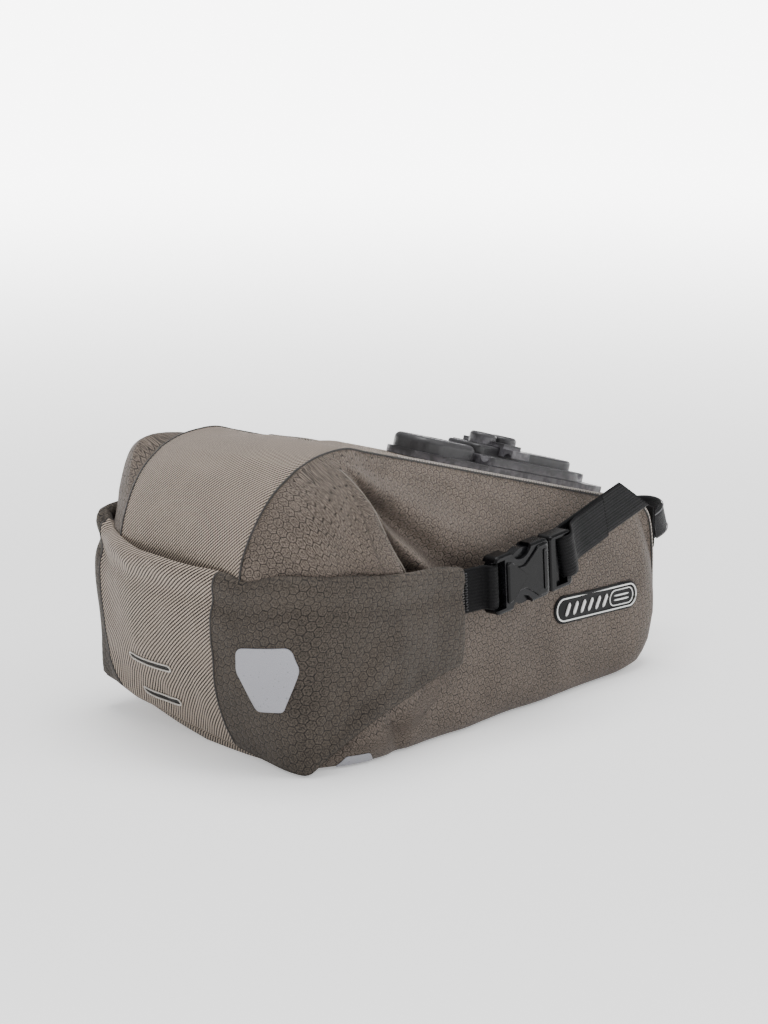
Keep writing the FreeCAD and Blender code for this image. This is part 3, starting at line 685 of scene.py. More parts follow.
# in the hollow the cloth's run is measured along the fold, behind the crease along the plain wall
step_fold = np.linalg.norm(np.diff(panel, axis=1, prepend=panel[:, :1]), axis=-1).cumsum(1)
run_plain = step_row - step_row[:, lip_at:lip_at + 1] + px[:, lip_at:lip_at + 1]
run_fold = step_fold - step_fold[:, key:key + 1] + px[:, key:key + 1]
panel_weave = np.stack([np.where(before[None], run_plain, run_fold), step_col, px * 0], -1)
panel_faces = grid_faces(len(v), len(u))
puff = np.exp(-((px - 46) / 22) ** 2 - ((pz - 150) / 17) ** 2) * smooth(0.0, 0.25, share)
for side, sign in (("right", 1), ("left", -1)):
    shape = panel * (1, sign, 1)
    if sign < 0:
        shape = shape + puff[..., None] * (0, 8.5, 7.0)
    shape = settled(shape)
    faces = panel_faces if sign > 0 else [f[::-1] for f in panel_faces]
    piece = add_mesh("side_cloth_" + side, shape, faces, panel_weave, SIDE, "bag", "ripstop_fabric")
    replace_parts(piece, "side_panel_" + side)
    # painted highlight: a thin light tube along the crease's lip stands in for its crisp edge catching the light
    down = np.linspace(156, 92, 60)
    line, _ = on_side(crease_x(down) - 0.55, down)
    line = settled(line * (1, sign, 1))
    add_mesh("crease_edge_highlight_" + side, *tube_parts(line + (0.25, -0.1 * sign, 0.1), 0.42, 6), FOLD_EDGE_HIGHLIGHT, "bag",
             "ripstop_fabric")

# the centre strip runs right round the bag between the two side panels
outline = np.vstack([edges[0][:-1], edges[3][:-1], edges[1][::-1][:-1], edges[2][::-1][:-1]])
share_round = np.linspace(0, 1, 421)[:-1]
ring = resample(np.vstack([outline, outline[:1]]), share_round)
ahead = np.roll(ring, -1, axis=0) - np.roll(ring, 1, axis=0)
outward = np.stack([-ahead[:, 1], ahead[:, 0]], -1)
outward /= np.linalg.norm(outward, axis=1, keepdims=True)
ring_width = seam_width(ring[:, 0], ring[:, 1])
x, z = ring[:, 0], ring[:, 1]
upper = outward[:, 1] > 0.5
crown = 2.6 * smooth(0.3, 0.8, outward[:, 1]) * (1 - smooth(55, 84, x)) + 4.0 * smooth(0.3, 0.9, outward[:, 0])
crown = crown + 2.0 * smooth(0.1, 0.7, -outward[:, 0]) + 1.2 * smooth(0.6, 0.95, -outward[:, 1])
across = np.linspace(-1, 1, 49)
across = np.sign(across) * np.abs(across) ** 0.9
dome = crown[:, None] * (1 - across[None] ** 2)
strip = np.stack([x[:, None] + outward[:, :1] * dome, ring_width[:, None] * across[None],
                  z[:, None] + outward[:, 1:] * dome], -1)
shiver = ripple(strip, 40.0, 5.7) * 0.8
still = (1 - np.abs(across[None]) ** 4) * np.where(upper & (x > 128), 0, 1)[:, None]
strip[..., 0] += outward[:, :1] * shiver * still
strip[..., 2] += outward[:, 1:] * shiver * still
run = lengths(np.vstack([ring, ring[:1]]))[:-1]
strip_weave = np.stack([-strip[..., 1], np.repeat(run[:, None], 49, 1), strip[..., 0] * 0], -1)
strip = settled(strip)
piece = add_mesh("centre_cloth", strip, grid_faces(len(ring), 49, True, False), strip_weave, TWILL,
                 "bag", "twill_fabric")
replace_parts(piece, "centre_panel", "top_stiffener")

front_part = (x > 118) & (z > 5)
for side, sign in (("right", -1), ("left", 1)):
    seam_line = np.stack([x, sign * (ring_width + 0.15), z], -1)
    seam_line = settled(seam_line + np.stack([outward[:, 0], 0 * x, outward[:, 1]], -1) * 0.1)
    add_mesh("body_seam_" + side, *tube_parts(seam_line, 0.6, 6, True), SEAM, "bag", "ripstop_fabric")
    piped = seam_line[front_part] + np.stack([outward[:, 0], 0 * x - sign * 0.6, outward[:, 1]], -1)[front_part] * 0.8
    add_mesh("body_piping_" + side, *tube_parts(piped, 0.8, 8), PIPING, "bag", "twill_fabric")

# ---- the rolled closure
CLOSURE_TOP, CORNER_X, WING_END = 110.0, 30.0, 137.0
SHEET, HEM = 3.0, 1.6     # the closure's thickness, and the radius of its lower edge


def band_line(z):
    """Plan curve of the closure's outer face at one height, right wing end to left."""
    share = max(z, 1.0) / CLOSURE_TOP
    centre_x = CORNER_X * (1 - share ** 0.75)
    half = [(w, -90.5 + 0.147 * (w - 95) - 4.2) for w in (WING_END, 115.0, 92.0)]
    half += [(74.0, -95.6), (56.0, -93.6), (42.0, -91.0), (CORNER_X, -86.5)]
    for y in (-76.0, -50.0, -25.0):
        half.append((centre_x + (CORNER_X - 4.0 - centre_x) * (y / 84.0) ** 2, y))
    points = half + [(centre_x, 0.0)] + [(a, -b) for a, b in reversed(half)]
    points[-7] = (CORNER_X - 2.5, 88.5)
    return spline(points, 700)


LOW_EDGE = [(-30, 1.0), (22, 1.0), (30, 1.6), (36, 5.5), (47, 12.5), (75, 27), (93, 32.5), (113, 37.5),
            (140, 41.5), (160, 44.5)]
HIGH_EDGE = [(-30, 109.5), (0, 109), (8, 107.5), (15, 106.3), (26, 107.3), (45, 105.8), (61, 104), (84, 102),
             (115, 98.5), (137, 96), (160, 94.5)]
RIGHT_SEAM = [(0, -31.5), (9.5, -31), (29, -29.5), (65, -32), (90, -37), (103, -40.5), (115, -43)]
LEFT_SEAM = [(0, 55), (15, 64), (32, 75.5), (46, 79), (80, 79.5), (115, 80)]
bands = {h: band_line(h) for h in range(0, 116, 3)}


def band_at(z):
    """Interpolated plan curve at height z."""
    low = min(int(z // 3) * 3, 111)
    t = (z - low) / 3
    return bands[low] * (1 - t) + bands[low + 3] * t


# three stretches between the wing ends and the two seams
COLUMNS = (78, 64, 66)
ROWS = 44
mid = band_at(60.0)
right_cut = np.interp(-31.5, mid[:, 1], np.linspace(0, 1, 700))
left_cut = np.interp(66.0, mid[:, 1], np.linspace(0, 1, 700))


cuts = (0, right_cut, left_cut, 1)
nominal = np.concatenate([[0]] + [np.linspace(a, b, count + 1)[1:] for a, b, count in zip(cuts, cuts[1:], COLUMNS)])
nominal_x, nominal_y = resample(mid, nominal).T
low_z = lookup(nominal_x, LOW_EDGE)
high_z = lookup(nominal_x, HIGH_EDGE)
wavy = ripple(np.stack([nominal_x, nominal_y, nominal_x * 0], -1), 26.0, 1.7)
near_rear = 1 - smooth(36, 110, nominal_x)
high_z = high_z + wavy * 1.0 + 9.0 * smooth(56, 80, nominal_y) * (1 - smooth(34, 75, nominal_x))
high_z = high_z - 2.6 * bell(nominal_x - 16.5, 2.6) * (nominal_y < 0)
low_z = low_z + wavy * 0.4 * smooth(60, 80, nominal_x)
low_z = low_z + near_rear * np.interp(nominal_y, [-86, -50, -31, 0, 13, 36, 59, 75, 90],
                                      [0, 1.5, 3.2, 5.6, 6.4, 9.8, 11.5, 16, 18])


def closure_point(i, z):
    """Outer face at column i and height z, with its outward direction."""
    line = band_at(min(max(z, 0.0), 114.0))
    y_right, y_left = polyline(z, RIGHT_SEAM), polyline(z, LEFT_SEAM)
    at = np.linspace(0, 1, 700)
    cuts = (0.0, np.interp(y_right, line[:, 1], at), np.interp(y_left, line[:, 1], at), 1.0)
    s = np.interp(nominal[i], (0, right_cut, left_cut, 1), cuts)
    here = resample(line, [s])[0]
    step = resample(line, [min(s + 0.004, 1)])[0] - resample(line, [max(s - 0.004, 0)])[0]
    step /= np.linalg.norm(step)
    return here, np.array([-step[1], step[0]])


def closure_swell(x, y, z, low, high):
    """Soft fullness of the closure: a rounded hem, a hollow under it, pillows and drag lines."""
    share = min(max((z - low) / (high - low), 0), 1)
    on_side = float(smooth(34, 60, x))
    off = math.sin(math.pi * share) * (1.4 + 1.2 * (1 - on_side))
    off += 1.3 * math.exp(-((high - z - 7) / 4.5) ** 2) - 1.5 * math.exp(-((high - z - 17) / 5.0) ** 2)
    free = min(1.0, (z - low) / 8, (high - z) / 6 + 0.15)
    drag = noise.noise(Vector((x * 0.03 + 4.2, y * 0.03, z * 0.03))) * 3.0 * (0.4 + 0.6 * (1 - abs(2 * share - 1)))
    slant = z * 0.9 + x * 0.45
    drag += 1.5 * noise.noise(Vector((slant * 0.05, y * 0.02 + x * 0.012, 7.7)))
    drag += 0.7 * noise.noise(Vector((x * 0.09, y * 0.09, z * 0.05 + 2.2)))
    # the sheet is pulled from the corner towards the buckle: two long shallow creases
    if y < 0:
        for angle, depth in ((0.62, 1.6), (0.30, 1.2), (0.93, 1.0)):
            away = (z - 8) * math.cos(angle) - (x - 26) * math.sin(angle)
            run = (z - 8) * math.sin(angle) + (x - 26) * math.cos(angle)
            held = float(smooth(4, 22, run) * (1 - smooth(55, 100, run)))
            drag -= depth * math.exp(-(away / (2.0 + 0.06 * abs(run))) ** 2) * held
    return off + drag * free


sheets = []
for i in range(len(nominal)):
    xa, ya = nominal_x[i], nominal_y[i]
    lo, hi = low_z[i], high_z[i]
    roll = 4.0 - 1.4 * smooth(30, 80, xa)
    outer, inner = [], []
    for z_here in lo + (hi - lo) * np.linspace(0, 1, ROWS):
        here, out = closure_point(i, z_here)
        swell = closure_swell(xa, ya, z_here, lo, hi)
        near_top, near_low = hi - z_here, z_here - lo
        turn = 0.0
        if near_top < roll:
            turn = roll - math.sqrt(max(roll ** 2 - (roll - near_top) ** 2, 0))
        if near_low < HEM:
            turn += HEM - math.sqrt(max(HEM ** 2 - (HEM - near_low) ** 2, 0))
        off = swell - turn
        outer.append((here[0] + out[0] * off, here[1] + out[1] * off, z_here))
        if near_top < roll:
            back = swell - 2 * roll + turn
        elif near_low < HEM:
            back = swell - SHEET + turn
        else:
            back = off - SHEET - (2 * roll - SHEET) * float(smooth(24, 8, near_top))
        inner.append((here[0] + out[0] * back, here[1] + out[1] * back, z_here))
    sheets.append((outer, inner))
outer = np.array([s[0] for s in sheets])
inner = np.array([s[1] for s in sheets])
arc = lengths(np.stack([nominal_x, nominal_y], -1))


def closure_part(name, first, last, material, slot, caps):
    """A stretch of the closure as one closed-edge sheet, folded over at the top."""
    loop_points, loop_weave = [], []
    ends = [(col, sign) for col, sign, present in zip((first, last), (-1, 1), caps) if present]
    for i in range(first, last + 1):
        loop = np.vstack([outer[i], inner[i][::-1]])
        up = np.concatenate([outer[i][:, 2], 2 * outer[i][-1, 2] - inner[i][::-1][:, 2]])
        loop_points.append(loop)
        loop_weave.append(np.stack([np.full(len(up), -arc[i]), up, up * 0], -1))
    for i, sign in ends:
        j = i - sign
        along = outer[i] - outer[j]
        along /= np.linalg.norm(along, axis=1, keepdims=True)
        middle, half = (outer[i] + inner[i]) / 2, (outer[i] - inner[i]) / 2
        reach = np.linalg.norm(half, axis=1, keepdims=True)
        for angle in (0.45, 0.9, 1.25):
            a = middle + half * math.cos(angle) + along * reach * math.sin(angle)
            c = middle - half * math.cos(angle) + along * reach * math.sin(angle)
            loop = np.vstack([a, c[::-1]])
            up = np.concatenate([a[:, 2], a[::-1][:, 2]])
            entry = np.stack([np.full(len(up), -arc[i] - sign * angle * 2), up, up * 0], -1)
            at = len(loop_points) if sign > 0 else 0
            loop_points.insert(at, loop)
            loop_weave.insert(at, entry)
    points, weave = np.array(loop_points), np.array(loop_weave)
    size = 2 * ROWS
    faces = grid_faces(len(points), size, False, True)
    for at, present, flip in ((0, caps[0], True), (len(points) - 1, caps[1], False)):
        if present:
            for k in range(ROWS - 1):
                face = (at * size + k, at * size + k + 1,
                        at * size + size - 2 - k, at * size + size - 1 - k)
                faces.append(face[::-1] if flip else face)
    return add_mesh(name, points, faces, weave, material, "bag", slot)


cut_a, cut_b = COLUMNS[0], COLUMNS[0] + COLUMNS[1]
last = len(nominal) - 1
for name, start, stop, material, slot, caps, nodes in (
    ("wing_right", 0, cut_a, WING_SHADED, "ripstop_fabric", (True, False), ("closure_wing_right",)),
    ("middle", cut_a, cut_b, TWILL, "twill_fabric", (False, False),
     ("closure_panel", "closure_inner_roll", "closure_stiffener")),
    ("wing_left", cut_b, last, WING_SHADED, "ripstop_fabric", (False, True), ("closure_wing_left",)),
):
    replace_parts(closure_part("closure_cloth_" + name, start, stop, material, slot, caps), *nodes)
for name, i in (("right", cut_a), ("left", cut_b)):
    add_mesh("closure_seam_" + name, *tube_parts(outer[i][1:], 0.6, 6), SEAM, "bag", "ripstop_fabric")


def on_closure(s, z, lift):
    """Point of the closure's outer face at arc length s from the right wing end."""
    col = np.interp(s, arc, np.arange(len(arc)))
    i = min(int(col), len(arc) - 2)
    t = col - i
    a, b = (np.array([np.interp(z, g[:, 2], g[:, 0]), np.interp(z, g[:, 2], g[:, 1]), z]) for g in outer[i:i + 2])
    here, side = a * (1 - t) + b * t, b - a
    n = np.array([side[1], -side[0], 0])
    n /= max(np.linalg.norm(n), 1e-9)
    if n[0] * (here[0] - 80) + n[1] * here[1] < 0:
        n = -n
    return here + n * lift


def rounded(corners, steps=7):
    """Outline of a polygon with rounded corners (x, y, radius)."""
    out = []
    count = len(corners)
    for i, (a, b, r) in enumerate(corners):
        here = np.array([a, b], float)
        before = np.array(corners[i - 1][:2], float) - here
        after = np.array(corners[(i + 1) % count][:2], float) - here
        before /= np.linalg.norm(before)
        after /= np.linalg.norm(after)
        half = math.acos(np.clip(before @ after, -1, 1)) / 2
        reach = r / math.tan(half)
        start, end = here + before * reach, here + after * reach
        centre = here + (before + after) / np.linalg.norm(before + after) * r / math.sin(half)
        for t in np.linspace(0, 1, steps):
            p = start * (1 - t) + end * t - centre
            out.append(centre + p / max(np.linalg.norm(p), 1e-9) * r)
    return np.array(out)


def decal_parts(shape, place, thick, rings=9):
    """Thin plate with a rounded rim laid on a surface; place(p, q, lift) gives its points."""
    shape = resample(np.vstack([shape, shape[:1]]), np.linspace(0, 1, 97))[:-1]
    centre = (shape.max(0) + shape.min(0)) / 2
    levels = [(k / rings, thick) for k in range(rings + 1)]
    levels[-1] = (1 - 0.012, thick)
    levels += [(1 - 0.003, thick * 0.8), (1.0, thick * 0.35), (1.0, 0.0)]
    points, weave = [], []
    for share_out, lift in levels:
        for p in shape:
            q = centre + (p - centre) * share_out
            points.append(place(q[0], q[1], lift))
            weave.append((q[0], q[1], 0))
    count = len(shape)
    # the innermost ring is one point, so its faces are triangles
    faces = grid_faces(len(levels), count, False, True)[count:]
    faces += [(0, count + (k + 1) % count, count + k) for k in range(count)]
    keep = [0] + list(range(count, len(points)))
    index = {old: new for new, old in enumerate(keep)}
    faces = [tuple(index[k] for k in f) for f in faces]
    return np.array([points[k] for k in keep]), faces, np.array([weave[k] for k in keep])


def facing(parts, direction):
    """Parts with their faces turned so that, on the whole, they look along a direction."""
    points, faces, weave = parts
    total = np.zeros(3)
    for f in faces:
        a, b, c = points[f[0]], points[f[1]], points[f[2]]
        total += np.cross(b - a, c - a)
    if total @ np.asarray(direction, float) < 0:
        faces = [f[::-1] for f in faces]
    return points, faces, weave


SHIELD = rounded([(-17, 15.5, 5), (-20, 3, 7), (-8.5, -19, 3.5), (8.5, -19, 3.5), (20, 3, 7), (17, 15.5, 5)])


def arc_of(x, y):
    gap = np.hypot(nominal_x - x, nominal_y - y)
    return arc[int(np.argmin(gap))]


def on_rear_corner(sign):
    """Placing function for a tilted decal on the closure's corner (-1 right, 1 left)."""
    at = arc_of(22.0, -67.5) if sign < 0 else arc_of(43.0, 91.5)
    c, s = math.cos(math.radians(9)), math.sin(math.radians(9))
    return lambda p, q, lift: on_closure(at + sign * (p * c - q * s), 53 + p * s + q * c, lift)


def low_on_side(sign):
    """Placing function for film on the rounded lower edge of a side panel."""
    def place(p, q, lift):
        here = on_side(np.array([62.0 + p]), np.array([4.0 + q]))[0][0] + np.array([0, -0.8, -0.5]) * lift
        return settled((here * (1, -sign, 1))[None])[0]
    return place


for side, sign in (("right", -1), ("left", 1)):
    place = on_rear_corner(sign)
    shape = decal_parts(SHIELD, lambda a, b, lift: place(a, b, lift + 0.25), 0.5)
    piece = add_mesh("reflector_film_" + side, *facing(shape, (-1, sign * 0.5, 0)), FILM, "bag", "reflective_film")
    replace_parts(piece, "reflector_" + side)
    wedge = rounded([(-11, -2.4, 0.6), (12, -2.4, 0.6), (7.5, 3.2, 2.2), (-6.0, 3.2, 2.2)])
    place = low_on_side(sign)
    shape = decal_parts(wedge, lambda a, b, lift: place(a, b, lift + 0.3), 0.4)
    add_mesh("low_film_" + side, *facing(shape, (0, sign, 0)), FILM, "bag", "reflective_film")

# two raised slits in the closure's middle for a clip-on light
for number, (y_mid, z_mid, half) in enumerate(((19.0, 41.0, 17.0), (21.5, 21.0, 16.5))):
    at = arc_of(18.0, y_mid)
    oval = rounded([(-half, -1.7, 1.6), (half, -1.7, 1.6), (half, 1.7, 1.6), (-half, 1.7, 1.6)], 5)
    oval = resample(np.vstack([oval, oval[:1]]), np.linspace(0, 1, 81))[:-1]
    rim = np.array([on_closure(at - a, z_mid + b + 0.8 * (a / half) ** 2, 0.55) for a, b in oval])
    add_mesh("slit_rim_%d" % number, *tube_parts(rim, 0.48, 6, True), PALE_THREAD, "bag", "twill_fabric")
    # painted shade: a flat dark patch inside each slit, the lining's colour with painted shade for the opening
    gap = decal_parts(oval * (0.98, 0.72), lambda a, b, lift: on_closure(at - a, z_mid + b + 0.8 * (a / half) ** 2,
                                                                        lift + 0.1), 0.12)
    add_mesh("slit_gap_%d" % number, *facing(gap, (-1, 0, 0)), LINING_SHADED, "bag", "twill_fabric")

# ---- straps
WALL_TURN = math.atan(0.147)
BUCKLE_AT, BUCKLE_TILT, STRAP_TILT = (60.0, 82.0), math.radians(4), math.radians(15)
BAR_REACH = 55.8          # from the female buckle's bar to the ladder bar
PIVOT = (BUCKLE_AT[0] + BAR_REACH * math.cos(BUCKLE_TILT), BUCKLE_AT[1] + BAR_REACH * math.sin(BUCKLE_TILT))


def on_wall(along, up, off):
    """Point in the axes of the right side wall: along it, up, and off it."""
    c, s = math.cos(WALL_TURN), math.sin(WALL_TURN)
    return np.stack([95 + along * c + off * s, -90.5 + along * s - off * c, up + along * 0], -1)


def turned(points, at, tilt):
    """Wall points from (x along, y up, off) measured in a frame turned by tilt at a spot."""
    p = np.asarray(points, float)
    c, s = math.cos(tilt), math.sin(tilt)
    return on_wall(at[0] + p[..., 0] * c - p[..., 1] * s, at[1] + p[..., 0] * s + p[..., 1] * c, p[..., 2])


def strap_on_wall(name, path, at, tilt, side, body, width=25.0, thick=1.5, ribs=6, shear=None, count=60,
                  replaces=()):
    """Webbing whose centre line is (x, off) in a frame turned on the wall."""
    line2 = spline(path, count)
    line = turned(np.stack([line2[:, 0], line2[:, 0] * 0, line2[:, 1]], -1), at, tilt)
    across = turned([[0, 1, 0]], at, tilt)[0] - turned([[0, 0, 0]], at, tilt)[0]
    parts = ribbon_parts(line, across, width, thick, ribs, shear=shear)
    piece = add_mesh(name, *parts, STRAP, body, "webbing", side == "left")
    for node in replaces:
        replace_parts(piece, node)
    return piece


for side in ("right", "left"):
    male = "buckle_male_" + side
    # from under the wing, round the female buckle's bar and back onto itself
    sewn = [(-26, 0.8), (-18, 0.8), (-12, 2.4), (-6, 4.4), (-3, 5.2), (-1.7, 6.6), (-1.0, 9.6), (0.8, 10.9),
            (3.2, 10.6), (4.9, 9.0), (5.0, 6.6), (3.2, 4.9), (1.0, 4.4)]
    strap_on_wall("wing_strap_" + side, sewn, BUCKLE_AT, BUCKLE_TILT, side, "bag",
                  replaces=("wing_webbing_" + side,), count=80)
    # the long strap: flat on the wall up to its oblique fold at the nose
    shear = lambda t, s: (-11.5 * s) * smooth(0.75, 1.0, t)
    long_strap = strap_on_wall("long_strap_" + side, [(-9, 1.25), (20, 1.25), (60, 1.4), (85.5, 1.9)], PIVOT,
                               STRAP_TILT, side, "bag", shear=shear, replaces=("front_strap_" + side,))
    mirror = (1, 1 if side == "right" else -1, 1)
    nose_end = metres(turned([[85.5, 0, 1.4]], PIVOT, STRAP_TILT) * mirror)[0]
    rear_end = metres(turned([[-9, 0, 1.4]], PIVOT, STRAP_TILT) * mirror)[0]
    tuple(nose_end)
    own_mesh(long_strap)
    tail = [(-2.0, 6.9), (-1.9, 4.9), (0.2, 4.4), (3.0, 4.5), (4.6, 5.2), (4.7, 7.6), (4.4, 10.6), (5.6, 12.6),
            (9.5, 13.9), (13, 13.2), (17, 9.8), (22, 5.6), (28, 4.0), (40, 3.7), (55, 3.6)]
    strap_on_wall("tail_strap_" + side, tail, PIVOT, STRAP_TILT, side, male,
                  replaces=("strap_tail_" + side,), count=110)


def wall_stitches(x_line, z_line, off, count, length, axis, at=(0.0, 0.0), tilt=0.0, radius=0.32):
    """Row of thread stitches on the side wall between two places; axis is their direction."""
    parts = []
    for k in range(count):
        t = (k + 0.5) / count
        x, z = x_line[0] + (x_line[1] - x_line[0]) * t, z_line[0] + (z_line[1] - z_line[0]) * t
        lean = math.radians(axis + (14 if k % 2 else -14))
        ends = np.array([[x + s * math.cos(lean) * length / 2, z + s * math.sin(lean) * length / 2,
                          off + 0.5 * radius * (1 - s * s)] for s in (-1.0, -0.5, 0.0, 0.5, 1.0)])
        parts.append(tube_parts(turned(ends, at, tilt), radius, 5))
    return joined(parts)


def on_buckle(p, q, lift):
    return turned([[p, q, 2.6 + 10.0 + lift]], BUCKLE_AT, BUCKLE_TILT)[0]


half_cross = [(9.5, -12.0, 1.2), (13.5, -11.0, 2.0), (18.0, -6.8, 4.0), (25.0, -6.4, 5.0), (31.5, -10.5, 4.0),
              (37.0, -14.6, 2.0), (45.0, -14.6, 1.4)]
cross = rounded(half_cross + [(a, -b, r) for a, b, r in reversed(half_cross)])
collar = rounded([(40.5, -11.5, 0.7), (42.6, -11.5, 0.7), (42.6, 11.5, 0.7), (40.5, 11.5, 0.7)], 4)
for side, mirror in (("right", False), ("left", True)):
    plates = [facing(decal_parts(cross, on_buckle, 0.9), (0, -1, 0)),
              facing(decal_parts(collar, lambda a, b, lift: on_buckle(a, b, lift + 0.85), 0.6), (0, -1, 0))]
    add_mesh("buckle_face_" + side, *joined(plates), BUCKLE, "bag", "buckle_plastic", mirror)
    # dense bar tack across the buckle's webbing beside the wing end, and a second one nearer the bar
    for number, a in enumerate((-15.6, -13.6)):
        add_mesh("bar_tack_%d_%s" % (number, side),
                 *wall_stitches((a, a), (-11, 11), 2.2 + 0.8 * number, 15, 2.2, 0, BUCKLE_AT, BUCKLE_TILT, 0.4),
                 GREY_THREAD if number == 0 else BLACK_THREAD, "bag", "webbing", mirror)

# ---- nose band and seat post strap
nose_plan = [(329.0, -43.5), (330.6, -36), (331.8, -18), (332, 0)]
nose_plan = nose_plan + [(a, -b) for a, b in nose_plan[::-1][1:]]
line2 = spline(nose_plan, 90)
line = np.stack([line2[:, 0], line2[:, 1], np.full(90, 78.5)], -1)
piece = add_mesh("nose_strap", *ribbon_parts(line, (0, 0, -1), 24.5, 1.5, 6), STRAP, "bag", "webbing")
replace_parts(piece, "nose_webbing")

LEAN = math.radians(17)


def on_post(p):
    p = np.asarray(p, float)
    x, y, z = p[..., 0], p[..., 1], p[..., 2]
    return np.stack([358 + x * math.cos(LEAN) - z * math.sin(LEAN), y,
                     70 + x * math.sin(LEAN) + z * math.cos(LEAN)], -1)


POST_UP = np.array([-math.sin(LEAN), 0, math.cos(LEAN)])


def post_band(name, plan, body, count, material=LOOP):
    line2 = spline(plan, count)
    line = on_post(np.stack([line2[:, 0], line2[:, 1], line2[:, 0] * 0], -1))
    return add_mesh(name, *ribbon_parts(line, POST_UP, 16.0, 1.3), material, body, "hook_and_loop")


def circle(radius, start, end, step=12):
    angles = np.radians(np.arange(start, end, step if end > start else -step))
    return [(radius * math.cos(a), radius * math.sin(a)) for a in angles] + [
        (radius * math.cos(math.radians(end)), radius * math.sin(math.radians(end)))]


left_leg = post_band("post_strap_left_leg", [(-26, 18.6), (-18, 18.4), (-9, 17.9), (0, 17.7)], "bag", 20)
post_band("post_strap_right_leg", [(-26, -17.5), (-16, -16.9), (-8, -16.2)] + circle(15.9, -90, -42), "bag", 40)
long_end = post_band("post_strap_long_end", circle(17.7, 90, -96), "seatpost_strap", 90)
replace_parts(left_leg, "seatpost_strap_base")
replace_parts(long_end, "seatpost_strap_end")
for z_edge in (7.2, -7.2):
    plan = np.array(circle(18.5, 88, -94, 6))
    edge = on_post(np.stack([plan[:, 0], plan[:, 1], plan[:, 0] * 0 + z_edge], -1))
    add_mesh("post_strap_edge_%s" % ("top" if z_edge > 0 else "bottom"), *tube_parts(edge, 0.35, 5), LOOP_EDGE,
             "seatpost_strap", "hook_and_loop")


def on_nose(p, q, lift):
    return np.array([333.0 + 0.4 + lift, p, 76 + q])


pad = rounded([(-22, -12, 5), (22, -12, 5), (22, 12, 5), (-22, 12, 5)])
add_mesh("post_strap_pad", *facing(decal_parts(pad, on_nose, 1.4), (1, 0, 0)), STRAP, "bag", "webbing")

# ---- side patch: a plain dark badge with a light rim and slanting bars
PATCH_AT = (167.0, 50.0)


def on_patch(p, q, lift):
    x, _, z = turned([[p, q, 0]], PATCH_AT, math.radians(-3.3))[0]
    here = on_side(np.array([x]), np.array([z]))[0][0]
    return here + np.array([0.147, -0.989, 0.0]) * (0.35 + lift)


oblong = rounded([(-39, -8, 7.9), (39, -8, 7.9), (39, 8, 7.9), (-39, 8, 7.9)])
inner_oblong = rounded([(-37.2, -6.3, 6.2), (37.2, -6.3, 6.2), (37.2, 6.3, 6.2), (-37.2, 6.3, 6.2)])
for side, mirror in (("right", False), ("left", True)):
    piece = add_mesh("badge_" + side, *facing(decal_parts(oblong, on_patch, 0.7), (0, -1, 0)), PATCH, "bag",
                     "patch", mirror)
    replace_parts(piece, "side_patch_" + side)
    lines = [tube_parts(np.array([on_patch(a, b, 0.95) for a, b in inner_oblong]), 0.45, 6, True)]
    for k in range(6):
        a = -28 + 7.0 * k
        bar = np.array([on_patch(a - 1.6 + 3.2 * t, -3.6 + 7.2 * t, 0.95) for t in np.linspace(0, 1, 7)])
        lines.append(tube_parts(bar, 0.95, 6))
    pill = rounded([(12, -4.4, 4.3), (34, -4.4, 4.3), (34, 4.4, 4.3), (12, 4.4, 4.3)])
    lines.append(tube_parts(np.array([on_patch(a, b, 0.95) for a, b in pill]), 0.35, 6, True))
    for b in (-1.3, 1.3):
        bar = np.array([on_patch(a, b, 0.95) for a in np.linspace(16, 30, 9)])
        lines.append(tube_parts(bar, 0.5, 6))
    add_mesh("badge_marks_" + side, *joined(lines), INK, "bag", "patch", mirror)

# ---- carried-over CAD nodes
buckle_nodes = ["%s_%s" % (part, side) for part in ("buckle_female", "buckle_male", "buckle_prong_upper",
                                                    "buckle_prong_lower") for side in ("right", "left")]
for names, material in (
    (buckle_nodes, BUCKLE),
    (("mount_base", "release_tongue", "rail_bracket", "clamp_jaw"), MOUNT),
    (("tongue_spring", "clamp_bolt_rear", "clamp_bolt_front", "clamp_nuts", "base_screws", "base_nuts"), STEEL),
):
    for name in names:
        shown[name].data.materials.clear()
        shown[name].data.materials.append(material)

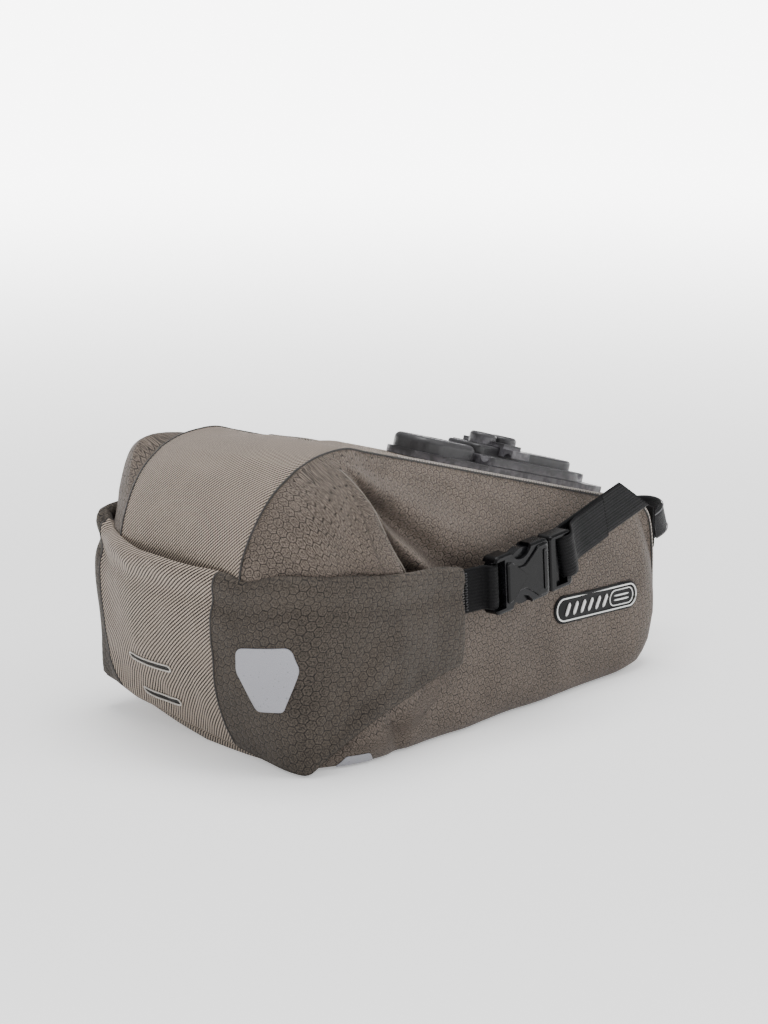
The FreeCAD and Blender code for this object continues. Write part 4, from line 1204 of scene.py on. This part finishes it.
# ---- floor, light and camera
floor_mesh = bpy.data.meshes.new("floor")
reach = 40.0
floor_mesh.from_pydata([(-reach, -reach, 0), (reach, -reach, 0), (reach, reach, 0), (-reach, reach, 0)], [],
                       [(0, 1, 2, 3)])
floor = bpy.data.objects.new("floor", floor_mesh)
bpy.context.collection.objects.link(floor)
m = Cloth("mat_floor")
far = m.ramp(m.vector("LENGTH", m.place()), 0.2, 2.4)
grain = m.noise(m.place(), 3.0)
glow = m.mix(far, (0.5, 0.5, 0.5, 1), (1.0, 1.0, 1.0, 1))
m.put(m.shader.inputs["Emission Color"], glow)
m.put(m.shader.inputs["Emission Strength"], m.plus(0.8, m.times(far, 6.0)))
floor_mesh.materials.append(m.finish(m.mix(grain, (0.88, 0.88, 0.88, 1), (0.90, 0.90, 0.90, 1)), 0.9,
                                     Specular_IOR_Level=0.1))

world = bpy.data.worlds.new("studio")
bpy.context.scene.world = world
world.use_nodes = True
world.node_tree.nodes["Background"].inputs[0].default_value = (1, 1, 1, 1)
world.node_tree.nodes["Background"].inputs[1].default_value = 0.75


def lamp(name, spot, aim, power, size):
    data = bpy.data.lights.new(name, "AREA")
    data.energy, data.size = power, size
    obj = bpy.data.objects.new(name, data)
    obj.location = spot
    obj.rotation_mode = "QUATERNION"
    obj.rotation_quaternion = (Vector(aim) - Vector(spot)).to_track_quat("-Z", "Y")
    bpy.context.collection.objects.link(obj)


lamp("top", (0.1, 0.1, 1.6), (0, 0, 0.08), 26, 1.0)
lamp("key", (0.8, -1.2, 1.3), (0, 0, 0.08), 9, 0.7)
lamp("fill", (-1.3, -0.7, 0.6), (0, 0, 0.08), 3, 0.8)

AZ, EL, CAMERA_REACH = math.radians(-41), math.radians(14.5), 1.7
target = Vector((REAR + 0.165, 0, 0.075))
back = Vector((math.sin(AZ) * math.cos(EL), -math.cos(AZ) * math.cos(EL), math.sin(EL)))
camera = bpy.data.objects.new("camera", bpy.data.cameras.new("camera"))
camera.data.lens, camera.data.sensor_width = 106.4, 36.0
camera.data.shift_x, camera.data.shift_y = -0.0092, 0.0517
camera.data.clip_end = 100
camera.location = target + back * CAMERA_REACH
camera.rotation_mode = "QUATERNION"
camera.rotation_quaternion = (-back).to_track_quat("-Z", "Y")
bpy.context.collection.objects.link(camera)
bpy.context.scene.camera = camera
